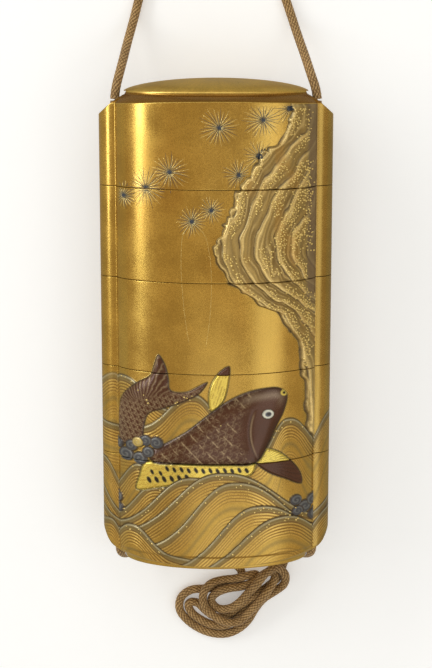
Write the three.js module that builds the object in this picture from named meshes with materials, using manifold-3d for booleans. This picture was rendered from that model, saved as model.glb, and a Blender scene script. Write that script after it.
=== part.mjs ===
// A four-case inro: a small lacquered case of stacked boxes under one lid, strung on a silk cord.
// It lies on its back: X runs across the case, +Y points to the lid, +Z out of the pictured front.
// The origin is on the flat spot of the back, at the middle of the case's length. Units: millimetres.

import * as THREE from "three";
import { mergeVertices } from "three/addons/utils/BufferGeometryUtils.js";
import Module from "manifold-3d";

const wasm = await Module();
wasm.setup();

// ---------------------------------------------------------------- driving dimensions

const CASE_WIDTH = 46.6; // across the two cord runners
const CASE_LENGTH = 99.0; // lid dome to base dome
const OVAL = { a: 20.9, b: 12.7 }; // half axes of the oval section, without the runners
const RUNNER_RADIUS = 4.0; // the round ridges at both ends of the oval, which hold the cord
const RUNNER_X = CASE_WIDTH / 2 - RUNNER_RADIUS;
const BACK_FLAT = 0.4; // how much is taken off the back, so that the case lies still
const MID_Z = OVAL.b - BACK_FLAT;

const LID_WALL = 16.9; // heights of the lid's and the cases' walls, along Y
const TIER_WALL = 18.2;
const BASE_WALL = 21.5;
const TIER_COUNT = 3; // the cases between the lid and the bottom case
const SEAM_GAP = 0.16; // between one wall and the next

const LID_DOME = { a: 18.5, b: 10.0, rise: 2.7, step: 0.35 }; // the pillow on top of the lid
const BASE_DOME = { a: 19.2, b: 11.0, rise: 1.1, step: 0.75 }; // the same under the bottom case
const LID_SHOULDER = 1.05; // from the wall's top edge up to the foot of the dome
const TOP_ARCH = 0.7; // how much the wall's top edge drops from its middle to the runners
const BOTTOM_ARCH = 1.5; // how much its bottom edge rises
const TOP_CHAMFER = { from: 20.8, slope: 0.9 }; // the runners' slanting upper ends
const BOTTOM_ROUND = { from: 20.0, height: 3.8, power: 2.5 }; // their rounded lower ends
const SHOULDER_FULLNESS = 0.15; // how far the shoulder swells out between the wall and the dome
const DOME_RINGS = [0.985, 0.9, 0.7, 0.4, 0]; // where a dome has its rings, from the foot to the crown
const DOME_POWER = 0.6; // how full a dome is
const CROWN = 0.02; // the small flat at its top, as a share of its width

const INSIDE = { a: 18.8, b: 10.6, end: 16.9 }; // a compartment: an oval cut off at its ends
const RISER = { a: 19.6, b: 11.4, end: 17.8, height: 3.6 }; // the lip that enters the next wall
const SOCKET = { a: 19.8, b: 11.6, end: 18.0, depth: 3.9 }; // the room for that lip
const FLOOR = 1.3; // thickness of a case's floor
const BASE_FLOOR = 1.9; // the same in the bottom case, over the foot of its dome
const CEILING = 2.6; // thickness of the lid's top under the middle of the dome's foot

const CHANNEL = { x: 20.1, radius: 1.3 }; // the bores for the cord, through both runners
const FLARE = { radius: 2.3, depth: 1.7 }; // the opened mouths of those bores
const MOUTH_LIP = 0.3; // how far past the wall's edge a mouth reaches its full radius
const CUTTER_PAST = 2; // how much farther its cutter runs on into the open
const CORD_RADIUS = 0.92;
const REST_GAP = 0.03; // under a cord that lies on the table
const FACE_GAP = 0.3; // between two stretches of the cord

const PICTURE_EDGE = 19.7; // the raised picture ends just inside the creases
const LID_BORDER = 0.9; // and this far from the wall's edges, at the top
const BASE_BORDER = 2.2; // and at the bottom
const WAVE_RELIEF = { farthest: 0.12, step: 0.035 }; // height of a wave, and what each nearer one adds
const RELIEF = { trunk: 0.42, ridge: 0.75, carp: 0.7, fins: 0.5, eye: 0.85 }; // height of the others
const WAVE_REACH = 1.5; // a wave is drawn out to this many times its stated reach
const WAVE_POWER = 2.4; // how square-shouldered its crest line is
const WAVE_STEP = 2.6; // length of one straight step of that line, along X

const SECTION_STEPS = { oval: 20, runner: 8 }; // straight steps along each arc of the outline
const BORE_SIDES = 12;
const CORD_SIDES = 8;
const CORD_STEP = 3.9; // length of one straight step of a cord
const BOW_STEP = 4.6; // the same in the bow
const BOW_LAP = 0.15; // how far each loop of the bow starts inside the last one, in route points

// Stations along Y, from the dimensions above.
const TOP = CASE_LENGTH / 2;
const LID_FOOT = TOP - LID_DOME.rise - LID_DOME.step;
const WALL_TOP = LID_FOOT - LID_SHOULDER;
const SEAMS = [0, 1, 2, 3].map((i) => WALL_TOP - LID_WALL - i * TIER_WALL);
const WALL_BOTTOM = SEAMS[TIER_COUNT] - BASE_WALL;
const BASE_FOOT = -TOP + BASE_DOME.rise + BASE_DOME.step;

// ---------------------------------------------------------------- solids

// A closed three.js geometry as a solid that can be joined and cut.
function solid(geometry) {
  const bare = geometry.index ? geometry.toNonIndexed() : geometry.clone();
  bare.deleteAttribute("normal");
  bare.deleteAttribute("uv");
  const merged = mergeVertices(bare, 1e-4);
  return new wasm.Manifold(
    new wasm.Mesh({
      numProp: 3,
      vertProperties: merged.attributes.position.array,
      triVerts: new Uint32Array(merged.index.array),
    }),
  );
}

// A solid as a three.js geometry again.
function geometryOf(made) {
  const mesh = made.getMesh();
  const position = new Float32Array(mesh.numVert * 3);
  for (let i = 0; i < mesh.numVert; i++) {
    const from = i * mesh.numProp;
    position.set(mesh.vertProperties.subarray(from, from + 3), i * 3);
  }
  const geometry = new THREE.BufferGeometry();
  geometry.setAttribute("position", new THREE.BufferAttribute(position, 3));
  geometry.setIndex(new THREE.BufferAttribute(mesh.triVerts, 1));
  return geometry;
}

// A closed skin over rings of equally many points, each drawn from +X to +Z and stacked up along Y,
// with a fan over each end.
function loft(rings) {
  const count = rings[0].length;
  const middle = (ring) =>
    ring.reduce((sum, p) => sum.add(p), new THREE.Vector3()).divideScalar(count);
  const points = [...rings.flat(), middle(rings[0]), middle(rings[rings.length - 1])];
  const first = rings.length * count;
  const faces = [];
  for (let i = 0; i < count; i++) {
    const j = (i + 1) % count;
    for (let k = 0; k + 1 < rings.length; k++) {
      const [low, high] = [k * count, (k + 1) * count];
      faces.push(low + i, high + j, low + j, low + i, high + i, high + j);
    }
    const last = first - count;
    faces.push(first, i, j, first + 1, last + j, last + i);
  }
  const geometry = new THREE.BufferGeometry().setFromPoints(points);
  geometry.setIndex(faces);
  return geometry;
}

// A flat outline in X and Z, drawn about the middle of the case, from one Y to another.
function prism(outline, low, high) {
  const shape = new THREE.Shape(outline.map((p) => new THREE.Vector2(p.x, p.y)));
  const geometry = new THREE.ExtrudeGeometry(shape, {
    depth: high - low,
    bevelEnabled: false,
  });
  geometry.rotateX(-Math.PI / 2);
  geometry.translate(0, low, MID_Z);
  return solid(geometry);
}

// A straight round bar along Y, wider at its upper or lower end where the two radii differ.
function bar(x, radiusLow, radiusHigh, low, high, sides) {
  const geometry = new THREE.CylinderGeometry(radiusHigh, radiusLow, high - low, sides);
  geometry.translate(x, (low + high) / 2, MID_Z);
  return solid(geometry);
}

// ---------------------------------------------------------------- sections

// Where the oval and a runner's circle cross: the crease between panel and runner.
function crease() {
  let [low, high] = [RUNNER_X, RUNNER_X + RUNNER_RADIUS];
  const oval = (x) => OVAL.b * Math.sqrt(Math.max(0, 1 - (x / OVAL.a) ** 2));
  const circle = (x) => Math.sqrt(RUNNER_RADIUS ** 2 - (x - RUNNER_X) ** 2);
  for (let i = 0; i < 40; i++) {
    const x = (low + high) / 2;
    if (oval(x) > circle(x)) low = x;
    else high = x;
  }
  return { x: low, z: oval(low) };
}
const CREASE = crease();
const OVAL_FROM = Math.acos(CREASE.x / OVAL.a); // the oval's angle at the crease
const RUNNER_TO = Math.atan2(CREASE.z, CREASE.x - RUNNER_X); // the runner's angle there

// The outline's points, each with the angle that stands for it on a plain oval.
// grow moves the outline outwards, for relief.
function section(grow = 0) {
  const points = [];
  for (const side of [1, -1]) {
    for (let i = 0; i < SECTION_STEPS.runner; i++) {
      const share = (2 * i) / SECTION_STEPS.runner - 1;
      const turn = share * RUNNER_TO;
      points.push({
        x: side * (RUNNER_X + (RUNNER_RADIUS + grow) * Math.cos(turn)),
        z: side * (RUNNER_RADIUS + grow) * Math.sin(turn),
        angle: share * OVAL_FROM + (side < 0 ? Math.PI : 0),
      });
    }
    for (let i = 0; i < SECTION_STEPS.oval; i++) {
      const share = i / SECTION_STEPS.oval;
      const turn = OVAL_FROM + share * (Math.PI - 2 * OVAL_FROM);
      points.push({
        x: side * (OVAL.a + grow) * Math.cos(turn),
        z: side * (OVAL.b + grow) * Math.sin(turn),
        angle: turn + (side < 0 ? Math.PI : 0),
      });
    }
  }
  return points;
}

// The flat outline of that section, with the flat spot on the back.
function outerOutline(grow = 0) {
  return section(grow).map((p) => new THREE.Vector2(p.x, -Math.max(p.z, -MID_Z))).reverse();
}

// The outline of a compartment, riser or socket: an oval cut off straight at both ends.
function cutOval({ a, b, end }, steps = 12) {
  const from = Math.acos(end / a);
  const points = [];
  for (const start of [from, Math.PI + from]) {
    for (let i = 0; i <= steps; i++) {
      const turn = start + (i / steps) * (Math.PI - 2 * from);
      points.push(new THREE.Vector2(a * Math.cos(turn), b * Math.sin(turn)));
    }
  }
  return points;
}

// ---------------------------------------------------------------- ends of the case

const topEdge = (x) =>
  WALL_TOP -
  TOP_ARCH * Math.min(1, Math.abs(x) / CREASE.x) ** 2 -
  TOP_CHAMFER.slope * Math.max(0, Math.abs(x) - TOP_CHAMFER.from);

const bottomEdge = (x) => {
  const past = Math.max(0, Math.abs(x) - BOTTOM_ROUND.from);
  const width = CASE_WIDTH / 2 - BOTTOM_ROUND.from;
  return (
    WALL_BOTTOM +
    BOTTOM_ARCH * Math.min(1, Math.abs(x) / CREASE.x) ** 2 +
    BOTTOM_ROUND.height * (past / width) ** BOTTOM_ROUND.power
  );
};

// One ring of the outer surface: the section, with its height along Y from a function of x.
function wallRing(height) {
  return section().map(
    (p) => new THREE.Vector3(p.x, height(p.x), Math.max(0, MID_Z + p.z)),
  );
}

// One ring of a dome: share 1 is its foot, and 0 its crown.
function domeRing(dome, share, y) {
  return section().map(
    (p) =>
      new THREE.Vector3(
        dome.a * share * Math.cos(p.angle),
        y,
        MID_Z + dome.b * share * Math.sin(p.angle),
      ),
  );
}

// A ring between two others, pushed outwards a little so that the shoulder is slightly full.
function between(ringA, ringB, share, fullness) {
  return ringA.map((p, i) => {
    const q = p.clone().lerp(ringB[i], share);
    return q.setY(q.y + fullness);
  });
}

// Rings of the whole end, from the wall's edge to nearly the crown. sign is 1 for the lid.
function endRings(edge, dome, foot, sign) {
  const rim = wallRing(edge);
  const footRing = domeRing(dome, 1, foot);
  const rings = [rim, between(rim, footRing, 0.5, sign * SHOULDER_FULLNESS), footRing];
  for (const share of DOME_RINGS) {
    const rise = dome.step + dome.rise * (1 - share ** 2) ** DOME_POWER;
    rings.push(domeRing(dome, Math.max(share, CROWN), foot + sign * rise));
  }
  return rings;
}

// ---------------------------------------------------------------- the picture's raised figures

// A closed smooth outline through a few points, as corners.
function smooth(points, steps = 2) {
  const curve = new THREE.CatmullRomCurve3(
    points.map(([x, y]) => new THREE.Vector3(x, y, 0)),
    true,
    "centripetal",
  );
  return curve.getPoints(points.length * steps).slice(0, -1);
}

// A wave: the area under its crest line, which falls off to both sides, down to the wall's end.
function wave({ x, y, left, right, foot }) {
  const from = Math.max(-PICTURE_EDGE, x - WAVE_REACH * left);
  const to = Math.min(PICTURE_EDGE, x + WAVE_REACH * right);
  const steps = Math.max(5, Math.round((to - from) / WAVE_STEP));
  const low = WALL_BOTTOM + BASE_BORDER;
  const line = Array.from({ length: steps + 1 }, (_, i) => {
    const at = from + ((to - from) * i) / steps;
    const away = Math.abs(at - x) / (at < x ? left : right);
    const crest = foot + (y - foot) * Math.exp(-(away ** WAVE_POWER));
    return new THREE.Vector3(at, Math.max(low, crest), 0);
  });
  return [...line, new THREE.Vector3(to, low - 1, 0), new THREE.Vector3(from, low - 1, 0)];
}

const PINE_TRUNK = smooth([
  [14.6, 44.6], [13.4, 39.5], [10.2, 36.4], [7.4, 32.9], [4.2, 28.2], [2.6, 23.3],
  [0.2, 19.4], [-0.1, 15.2], [2.9, 10.4], [6.2, 7.6], [9.6, 5.3], [12.4, 3.6],
  [14.4, -0.2], [16.4, -3.6], [17.1, -9.6], [18.3, -16.0], [19.0, -23.0],
  [19.7, -18.0], [19.75, 0.0], [19.75, 20.0], [19.75, 42.0], [17.5, 44.7],
]);
const BARK_RIDGES = [
  [[9.8, 33.5], [7.2, 28.6], [6.4, 23.0], [6.9, 17.6], [5.3, 18.4], [4.7, 23.6], [6.0, 29.6]],
  [[13.6, 27.6], [11.2, 23.6], [10.6, 18.0], [11.4, 12.2], [9.6, 13.4], [8.8, 18.6], [10.4, 24.6]],
  [[16.6, 36.0], [14.9, 31.0], [14.2, 25.4], [12.9, 26.4], [13.2, 31.8], [14.6, 36.4]],
  [[15.6, 16.8], [14.2, 12.0], [15.0, 7.4], [16.6, 3.0], [14.4, 5.0], [12.6, 9.2], [13.4, 14.4]],
].map((points) => smooth(points));

const CARP_BODY = smooth([
  [14.1, -12.4], [12.4, -11.0], [9.4, -10.9], [5.8, -11.6], [2.0, -13.4], [-1.6, -16.0],
  [-5.8, -19.4], [-9.8, -22.0], [-13.2, -24.2], [-12.8, -26.1], [-6.0, -26.2], [1.5, -26.2],
  [7.9, -25.9], [10.2, -22.6], [12.0, -18.8], [13.6, -15.6],
]);
const CARP_BELLY = smooth([
  [-14.0, -26.4], [-6.0, -26.3], [1.5, -26.3], [7.8, -26.0], [7.0, -28.4], [0.0, -29.0],
  [-6.0, -30.2], [-11.4, -31.4], [-16.0, -32.4], [-15.4, -29.4],
]);
const CARP_TAIL = smooth([
  [-18.9, -23.2], [-19.6, -18.0], [-18.7, -13.4], [-15.6, -10.2], [-13.0, -8.4],
  [-12.2, -6.0], [-11.4, -4.2], [-10.2, -5.8], [-9.4, -8.6], [-9.0, -11.2], [-5.8, -11.4],
  [-3.4, -10.2], [-1.7, -9.4], [-3.2, -11.6], [-6.4, -13.4], [-10.4, -15.0], [-13.4, -16.4],
  [-14.4, -19.4], [-14.8, -22.4],
]);
const DORSAL_FIN = smooth([
  [-1.0, -15.2], [-1.5, -12.2], [-0.7, -9.2], [1.0, -7.0], [2.6, -6.2], [2.5, -9.4], [1.4, -13.4],
]);
const BREAST_FIN = smooth([
  [8.0, -25.8], [9.4, -23.2], [12.2, -23.8], [14.8, -26.0], [17.0, -29.2], [17.2, -31.4],
  [13.8, -29.8], [10.2, -28.0],
]);
const EYE = { x: 10.1, y: -16.0, a: 1.1, b: 0.9 };
const CARP_EYE = new THREE.EllipseCurve(EYE.x, EYE.y, EYE.a, EYE.b).getPoints(10).slice(0, -1);

// From the farthest wave to the nearest: the place of each crest, how far it reaches to the left
// and to the right, and the level that it falls to.
const WAVES = [
  { x: -18.8, y: -9.2, left: 3.0, right: 5.6, foot: -15.0 },
  { x: -4.6, y: -11.8, left: 6.0, right: 5.0, foot: -19.0 },
  { x: 14.4, y: -17.4, left: 4.2, right: 5.4, foot: -26.0 },
  { x: -15.2, y: -26.9, left: 4.4, right: 5.0, foot: -34.0 },
  { x: -11.6, y: -30.7, left: 6.0, right: 5.0, foot: -39.0 },
  { x: -4.4, y: -28.8, left: 9.7, right: 8.0, foot: -40.0 },
  { x: 1.2, y: -27.8, left: 11.8, right: 15.0, foot: -41.0 },
  { x: 3.8, y: -29.8, left: 10.2, right: 13.0, foot: -43.5 },
  { x: -17.0, y: -39.9, left: 3.6, right: 4.8, foot: -45.2 },
  { x: 8.6, y: -34.9, left: 10.0, right: 12.2, foot: -47.5 },
  { x: 13.6, y: -37.5, left: 11.0, right: 9.0, foot: -48.5 },
];

const FIGURES = [
  ...WAVES.map((each, i) => ({
    height: WAVE_RELIEF.farthest + WAVE_RELIEF.step * i,
    outlines: [wave(each)],
  })),
  { height: RELIEF.trunk, outlines: [PINE_TRUNK] },
  { height: RELIEF.ridge, outlines: BARK_RIDGES },
  { height: RELIEF.carp, outlines: [CARP_BODY, CARP_TAIL] },
  { height: RELIEF.fins, outlines: [CARP_BELLY, DORSAL_FIN, BREAST_FIN] },
  { height: RELIEF.eye, outlines: [CARP_EYE] },
];

// The front figures between two heights along Y, standing on the wall.
function relief(low, high) {
  let raised = null;
  for (const { height, outlines } of FIGURES) {
    const limit = prism(outerOutline(height), low, high);
    for (const outline of outlines) {
      const geometry = new THREE.ExtrudeGeometry(new THREE.Shape(outline), {
        depth: CASE_WIDTH / 2,
        bevelEnabled: false,
      });
      geometry.translate(0, 0, MID_Z);
      const figure = solid(geometry).intersect(limit);
      if (!figure.isEmpty()) raised = raised ? raised.add(figure) : figure;
    }
  }
  return raised;
}

// ---------------------------------------------------------------- the lid and the cases

// Both bores for the cord, with opened mouths where a mouth's height is given.
function channels(low, high, mouths = []) {
  let cut = null;
  for (const x of [-CHANNEL.x, CHANNEL.x]) {
    const pieces = [bar(x, CHANNEL.radius, CHANNEL.radius, low, high, BORE_SIDES)];
    for (const { y, sign } of mouths) {
      const slope = (FLARE.radius - CHANNEL.radius) / FLARE.depth;
      const reach = FLARE.radius + slope * CUTTER_PAST;
      const [inner, outer] = [y - sign * FLARE.depth, y + sign * CUTTER_PAST];
      pieces.push(
        sign > 0
          ? bar(x, CHANNEL.radius, reach, inner, outer, BORE_SIDES)
          : bar(x, reach, CHANNEL.radius, outer, inner, BORE_SIDES),
      );
    }
    for (const piece of pieces) cut = cut ? cut.add(piece) : piece;
  }
  return cut;
}

function lid() {
  const low = SEAMS[0] + SEAM_GAP / 2;
  const rings = [wallRing(() => low), ...endRings(topEdge, LID_DOME, LID_FOOT, 1)];
  const hollow = prism(cutOval(SOCKET), low - 1, LID_FOOT + LID_DOME.step - CEILING);
  return solid(loft(rings))
    .add(relief(low, WALL_TOP - LID_BORDER))
    .subtract(hollow)
    .subtract(channels(low - 1, TOP, [{ y: topEdge(CHANNEL.x) + MOUTH_LIP, sign: 1 }]));
}

function tier(index) {
  const low = SEAMS[index + 1] + SEAM_GAP / 2;
  const high = SEAMS[index] - SEAM_GAP / 2;
  const floor = low + SOCKET.depth + FLOOR;
  return prism(outerOutline(), low, high)
    .add(relief(low, high))
    .add(prism(cutOval(RISER), high - 1, high + RISER.height))
    .subtract(prism(cutOval(SOCKET), low - 1, low + SOCKET.depth))
    .subtract(prism(cutOval(INSIDE), floor, high + RISER.height + 1))
    .subtract(channels(low - 1, high + 1));
}

function bottomCase() {
  const high = SEAMS[TIER_COUNT] - SEAM_GAP / 2;
  const rings = [
    ...endRings(bottomEdge, BASE_DOME, BASE_FOOT, -1).reverse(),
    wallRing(() => high),
  ];
  const floor = BASE_FOOT + BASE_FLOOR;
  return solid(loft(rings))
    .add(relief(WALL_BOTTOM + BASE_BORDER, high))
    .add(prism(cutOval(RISER), high - 1, high + RISER.height))
    .subtract(prism(cutOval(INSIDE), floor, high + RISER.height + 1))
    .subtract(channels(-TOP, high + 1, [{ y: bottomEdge(CHANNEL.x) - MOUTH_LIP, sign: -1 }]));
}

// ---------------------------------------------------------------- the cord

const MOUTH_TOP = topEdge(CHANNEL.x) + 2 * MOUTH_LIP; // where the cord leaves the lid and the base
const MOUTH_BOTTOM = bottomEdge(CHANNEL.x) - 2 * MOUTH_LIP;
const REST_Z = CORD_RADIUS + REST_GAP; // the middle of a cord that lies on the table

// The loop above the lid, from the left mouth down to the table and round to the right one.
const UPPER_ROUTE = [
  [-20.1, MOUTH_TOP, MID_Z], [-19.85, 47.4, 12.15], [-19.4, 49.4, 11.2], [-18.9, 51.5, 9.4],
  [-18.4, 53.7, 7.0], [-17.9, 56.0, 4.7], [-17.25, 58.6, 2.7], [-16.5, 61.4, 1.4],
  [-15.7, 64.6, REST_Z], [-13.7, 71.5, REST_Z], [-11.5, 79.5, REST_Z], [-9.3, 87.5, REST_Z],
  [-7.3, 94.0, REST_Z], [-5.0, 98.6, REST_Z], [-1.4, 100.6, REST_Z], [2.0, 98.2, REST_Z],
  [4.1, 93.4, REST_Z], [6.3, 86.8, REST_Z], [9.2, 78.6, REST_Z], [11.7, 71.5, REST_Z],
  [14.2, 64.6, REST_Z], [15.3, 61.4, 1.4], [16.2, 58.6, 2.7], [17.05, 56.0, 4.7],
  [17.8, 53.7, 7.0], [18.45, 51.5, 9.4], [19.1, 49.4, 11.2], [19.75, 47.4, 12.15],
  [20.1, MOUTH_TOP, MID_Z],
];

// From each lower mouth down to the table, and along under the base to the bow.
const LOWER_LEFT_ROUTE = [
  [-20.1, MOUTH_BOTTOM, MID_Z], [-20.0, -48.4, 11.5], [-19.4, -49.8, 9.2], [-18.2, -50.7, 6.0],
  [-16.2, -51.2, 3.2], [-13.8, -51.6, 1.5], [-11.0, -52.0, 1.0], [-8.0, -52.2, REST_Z],
  [-5.1, -52.4, REST_Z], [-2.1, -52.7, REST_Z], [0.7, -53.4, REST_Z],
];
const LOWER_RIGHT_ROUTE = [
  [15.8, -52.1, 2.4], [17.0, -51.3, 4.2], [18.4, -50.7, 6.4], [19.4, -49.8, 9.2],
  [20.0, -48.4, 11.5], [20.1, MOUTH_BOTTOM, MID_Z],
];

// The bow, one loop of the cord after another, each lying on the table or on the ones before it.
const BOW_ROUTE = {
  outer_loop: [
    [1.1, -53.6, 1.0], [3.4, -54.7, 1.0], [5.4, -56.3, 1.0], [5.4, -58.6, 1.0], [3.2, -59.9, 1.0],
    [0.4, -60.3, 1.0], [-2.6, -60.6, 1.0], [-5.5, -60.9, 1.0], [-7.6, -62.6, 1.0],
    [-7.9, -65.4, 1.0], [-6.1, -67.9, 1.0], [-3.6, -69.7, 1.0], [-0.7, -70.8, 1.0],
    [2.3, -70.9, 1.0], [4.9, -69.8, 1.0], [7.0, -67.8, 1.0], [8.5, -65.2, 1.0],
    [10.3, -62.9, 1.0], [12.7, -61.2, 1.1], [14.7, -59.3, 1.8], [14.9, -56.7, 2.9],
  ],
  top_loop: [
    [13.0, -54.9, 3.6], [10.7, -56.0, 4.2], [8.8, -58.3, 4.6], [6.9, -60.5, 4.1],
    [5.0, -62.8, 3.7], [2.9, -64.5, 2.7], [0.3, -64.8, 1.8], [-1.1, -63.0, 1.8],
    [0.1, -60.9, 2.8], [2.8, -59.8, 3.0], [5.8, -59.4, 2.8], [8.6, -58.2, 2.7],
  ],
  middle_loop: [
    [10.8, -56.5, 2.3], [12.8, -56.5, 2.3], [12.3, -58.6, 2.8], [10.6, -60.8, 3.9],
    [8.9, -63.1, 3.5], [7.1, -65.4, 2.7], [5.1, -67.4, 2.8], [2.2, -67.6, 2.8],
    [-0.4, -66.2, 2.8], [-2.4, -64.1, 2.7], [-2.8, -61.4, 2.7], [-1.3, -59.1, 2.3],
    [1.3, -58.4, 1.7], [4.1, -57.9, 2.2], [6.9, -57.0, 2.7],
  ],
  inner_loop: [
    [8.9, -57.4, 1.1], [9.1, -59.6, 1.0], [7.9, -62.3, 1.0], [6.5, -64.9, 1.0],
    [4.6, -67.4, 1.0], [2.1, -69.0, 1.0], [-0.8, -68.8, 1.1], [-3.4, -67.6, 1.1],
    [-5.5, -65.8, 1.1], [-6.0, -63.8, 1.1], [-4.2, -63.7, 1.0], [-2.3, -65.5, 1.0],
    [0.0, -67.1, 1.0], [2.6, -66.7, 1.0], [4.5, -64.7, 1.5], [6.6, -62.7, 2.6],
    [9.2, -61.1, 2.6], [11.5, -59.7, 1.4], [13.7, -57.7, 1.0], [14.5, -55.0, 1.1],
    [15.4, -52.9, 1.9],
  ],
};

// A smooth curve through the points of a route.
function curveThrough(points) {
  const corners = points.map(([x, y, z]) => new THREE.Vector3(x, y, z));
  return new THREE.CatmullRomCurve3(corners, false, "centripetal");
}

// A round cord along a curve, cut off square at both ends.
function cordGeometry(curve, step) {
  const corner = (i) => {
    const turn = ((i + 0.5) / CORD_SIDES) * 2 * Math.PI;
    return new THREE.Vector2(CORD_RADIUS * Math.cos(turn), CORD_RADIUS * Math.sin(turn));
  };
  return new THREE.ExtrudeGeometry(
    new THREE.Shape(Array.from({ length: CORD_SIDES }, (_, i) => corner(i))),
    { steps: Math.round(curve.getLength() / step), extrudePath: curve, bevelEnabled: false },
  );
}

// The stretch of cord inside one runner, from mouth to mouth.
function cordRun(side) {
  return bar(
    side * CHANNEL.x,
    CORD_RADIUS,
    CORD_RADIUS,
    MOUTH_BOTTOM + FACE_GAP,
    MOUTH_TOP - FACE_GAP,
    CORD_SIDES,
  );
}

// The bow: its loops, each joined to the one before it and to those that it lies on.
function bow() {
  const loops = Object.values(BOW_ROUTE);
  const whole = curveThrough(loops.flat());
  const last = loops.flat().length - 1;
  let made = null;
  let start = 0;
  for (const loop of loops) {
    const from = Math.max(0, start - BOW_LAP);
    const to = Math.min(start + loop.length, last);
    const along = loop.map((_, i) => (from + ((to - from) * i) / (loop.length - 1)) / last);
    const curve = new THREE.CatmullRomCurve3(
      along.map((share) => whole.getPoint(share)),
      false,
      "centripetal",
    );
    const piece = solid(cordGeometry(curve, BOW_STEP));
    made = made ? made.add(piece) : piece;
    start += loop.length;
  }
  return made;
}

// ---------------------------------------------------------------- the object

const LACQUER = new THREE.MeshStandardMaterial({
  name: "gold_lacquer",
  color: 0xb8903a,
  roughness: 0.32,
  metalness: 0.7,
});
const SILK = new THREE.MeshStandardMaterial({
  name: "cord_silk",
  color: 0x7d5a2c,
  roughness: 0.8,
  metalness: 0,
});

function mesh(name, geometry, material) {
  const made = new THREE.Mesh(geometry, material);
  made.name = name;
  return made;
}

const inro = new THREE.Group();
const boxes = new THREE.Group();
boxes.add(mesh("lid", geometryOf(lid()), LACQUER));
for (let i = 0; i < TIER_COUNT; i++) {
  boxes.add(mesh(`case_${i + 1}`, geometryOf(tier(i)), LACQUER));
}
boxes.add(mesh("case_bottom", geometryOf(bottomCase()), LACQUER));

const cord = new THREE.Group();
cord.add(mesh("cord_upper", cordGeometry(curveThrough(UPPER_ROUTE), CORD_STEP), SILK));
cord.add(mesh("cord_run_left", geometryOf(cordRun(-1)), SILK));
cord.add(mesh("cord_run_right", geometryOf(cordRun(1)), SILK));
cord.add(mesh("cord_lower_left", cordGeometry(curveThrough(LOWER_LEFT_ROUTE), CORD_STEP), SILK));
cord.add(mesh("cord_lower_right", cordGeometry(curveThrough(LOWER_RIGHT_ROUTE), CORD_STEP), SILK));
cord.add(mesh("cord_bow", geometryOf(bow()), SILK));

inro.add(boxes, cord);
export default inro;
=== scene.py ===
"""A four-case inro: five lacquered boxes with a picture in raised gold lacquer, strung on a silk cord.

The case lies on its back. X runs across it, +Y points to the lid, +Z out of the pictured front.
Sizes in this file are in millimetres and are turned into metres where a mesh is placed.
"""

import math

import bpy
import numpy as np
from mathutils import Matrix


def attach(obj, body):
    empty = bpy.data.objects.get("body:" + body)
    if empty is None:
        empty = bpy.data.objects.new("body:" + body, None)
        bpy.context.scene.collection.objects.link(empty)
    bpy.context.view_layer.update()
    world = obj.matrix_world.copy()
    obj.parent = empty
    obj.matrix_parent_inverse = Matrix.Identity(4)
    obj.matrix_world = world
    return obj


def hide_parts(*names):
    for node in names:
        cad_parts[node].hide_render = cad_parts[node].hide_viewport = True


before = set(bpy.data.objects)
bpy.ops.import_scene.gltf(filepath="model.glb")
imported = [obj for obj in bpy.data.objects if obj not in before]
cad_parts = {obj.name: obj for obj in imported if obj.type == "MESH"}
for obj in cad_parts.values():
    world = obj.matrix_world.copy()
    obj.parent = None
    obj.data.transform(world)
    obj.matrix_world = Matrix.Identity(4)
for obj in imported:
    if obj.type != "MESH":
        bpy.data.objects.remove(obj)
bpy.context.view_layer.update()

MM = 0.001

# ---------------------------------------------------------------- dimensions, as in the part's source

OVAL_A, OVAL_B = 20.9, 12.7            # half axes of the oval section
RUNNER_RADIUS = 4.0
RUNNER_X = 19.3
BACK_FLAT = 0.4
MID_Z = OVAL_B - BACK_FLAT

TOP = 49.5
LID_WALL, TIER_WALL, BASE_WALL = 16.9, 18.2, 21.5
SEAM_GAP = 0.10
LID_DOME = dict(a=18.5, b=10.0, rise=2.7, step=0.35)
BASE_DOME = dict(a=19.2, b=11.0, rise=1.1, step=0.75)
LID_FOOT = TOP - LID_DOME["rise"] - LID_DOME["step"]
LID_SHOULDER = 1.05
SHOULDER_FULLNESS = 0.15
DOME_POWER = 0.6
WALL_TOP = LID_FOOT - LID_SHOULDER
SEAMS = [WALL_TOP - LID_WALL - i * TIER_WALL for i in range(4)]
WALL_BOTTOM = SEAMS[3] - BASE_WALL
BASE_FOOT = -TOP + BASE_DOME["rise"] + BASE_DOME["step"]

INSIDE = dict(a=18.8, b=10.6, end=16.9)
RISER = dict(a=19.6, b=11.4, end=17.8)
RISER_HEIGHT = 3.6
SOCKET = dict(a=19.8, b=11.6, end=18.0)
SOCKET_DEPTH = 3.9
FLOOR = 1.3
CEILING = 2.6

BORE_X, BORE_RADIUS = 20.1, 1.3
FLARE_RADIUS, FLARE_DEPTH = 2.3, 1.7
CORD_DIAMETER = 1.84


def find_crease():
    """The half width and depth where the oval meets a runner."""
    low, high = RUNNER_X, RUNNER_X + RUNNER_RADIUS
    for _ in range(40):
        x = (low + high) / 2
        oval = OVAL_B * math.sqrt(max(0.0, 1 - (x / OVAL_A) ** 2))
        if oval > math.sqrt(RUNNER_RADIUS ** 2 - (x - RUNNER_X) ** 2):
            low = x
        else:
            high = x
    return low, OVAL_B * math.sqrt(1 - (low / OVAL_A) ** 2)


CREASE_X, CREASE_Z = find_crease()


def top_edge(x):
    """Height of the lid's wall along Y, at a distance from the middle."""
    x = np.abs(x)
    return WALL_TOP - 0.7 * np.minimum(1, x / CREASE_X) ** 2 - 0.9 * np.maximum(0, x - 20.8)


def bottom_edge(x):
    """Where the bottom case's wall ends, along Y."""
    x = np.abs(x)
    past = np.maximum(0, x - 20.0) / 3.3
    return WALL_BOTTOM + 1.5 * np.minimum(1, x / CREASE_X) ** 2 + 3.8 * past ** 2.5


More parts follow.
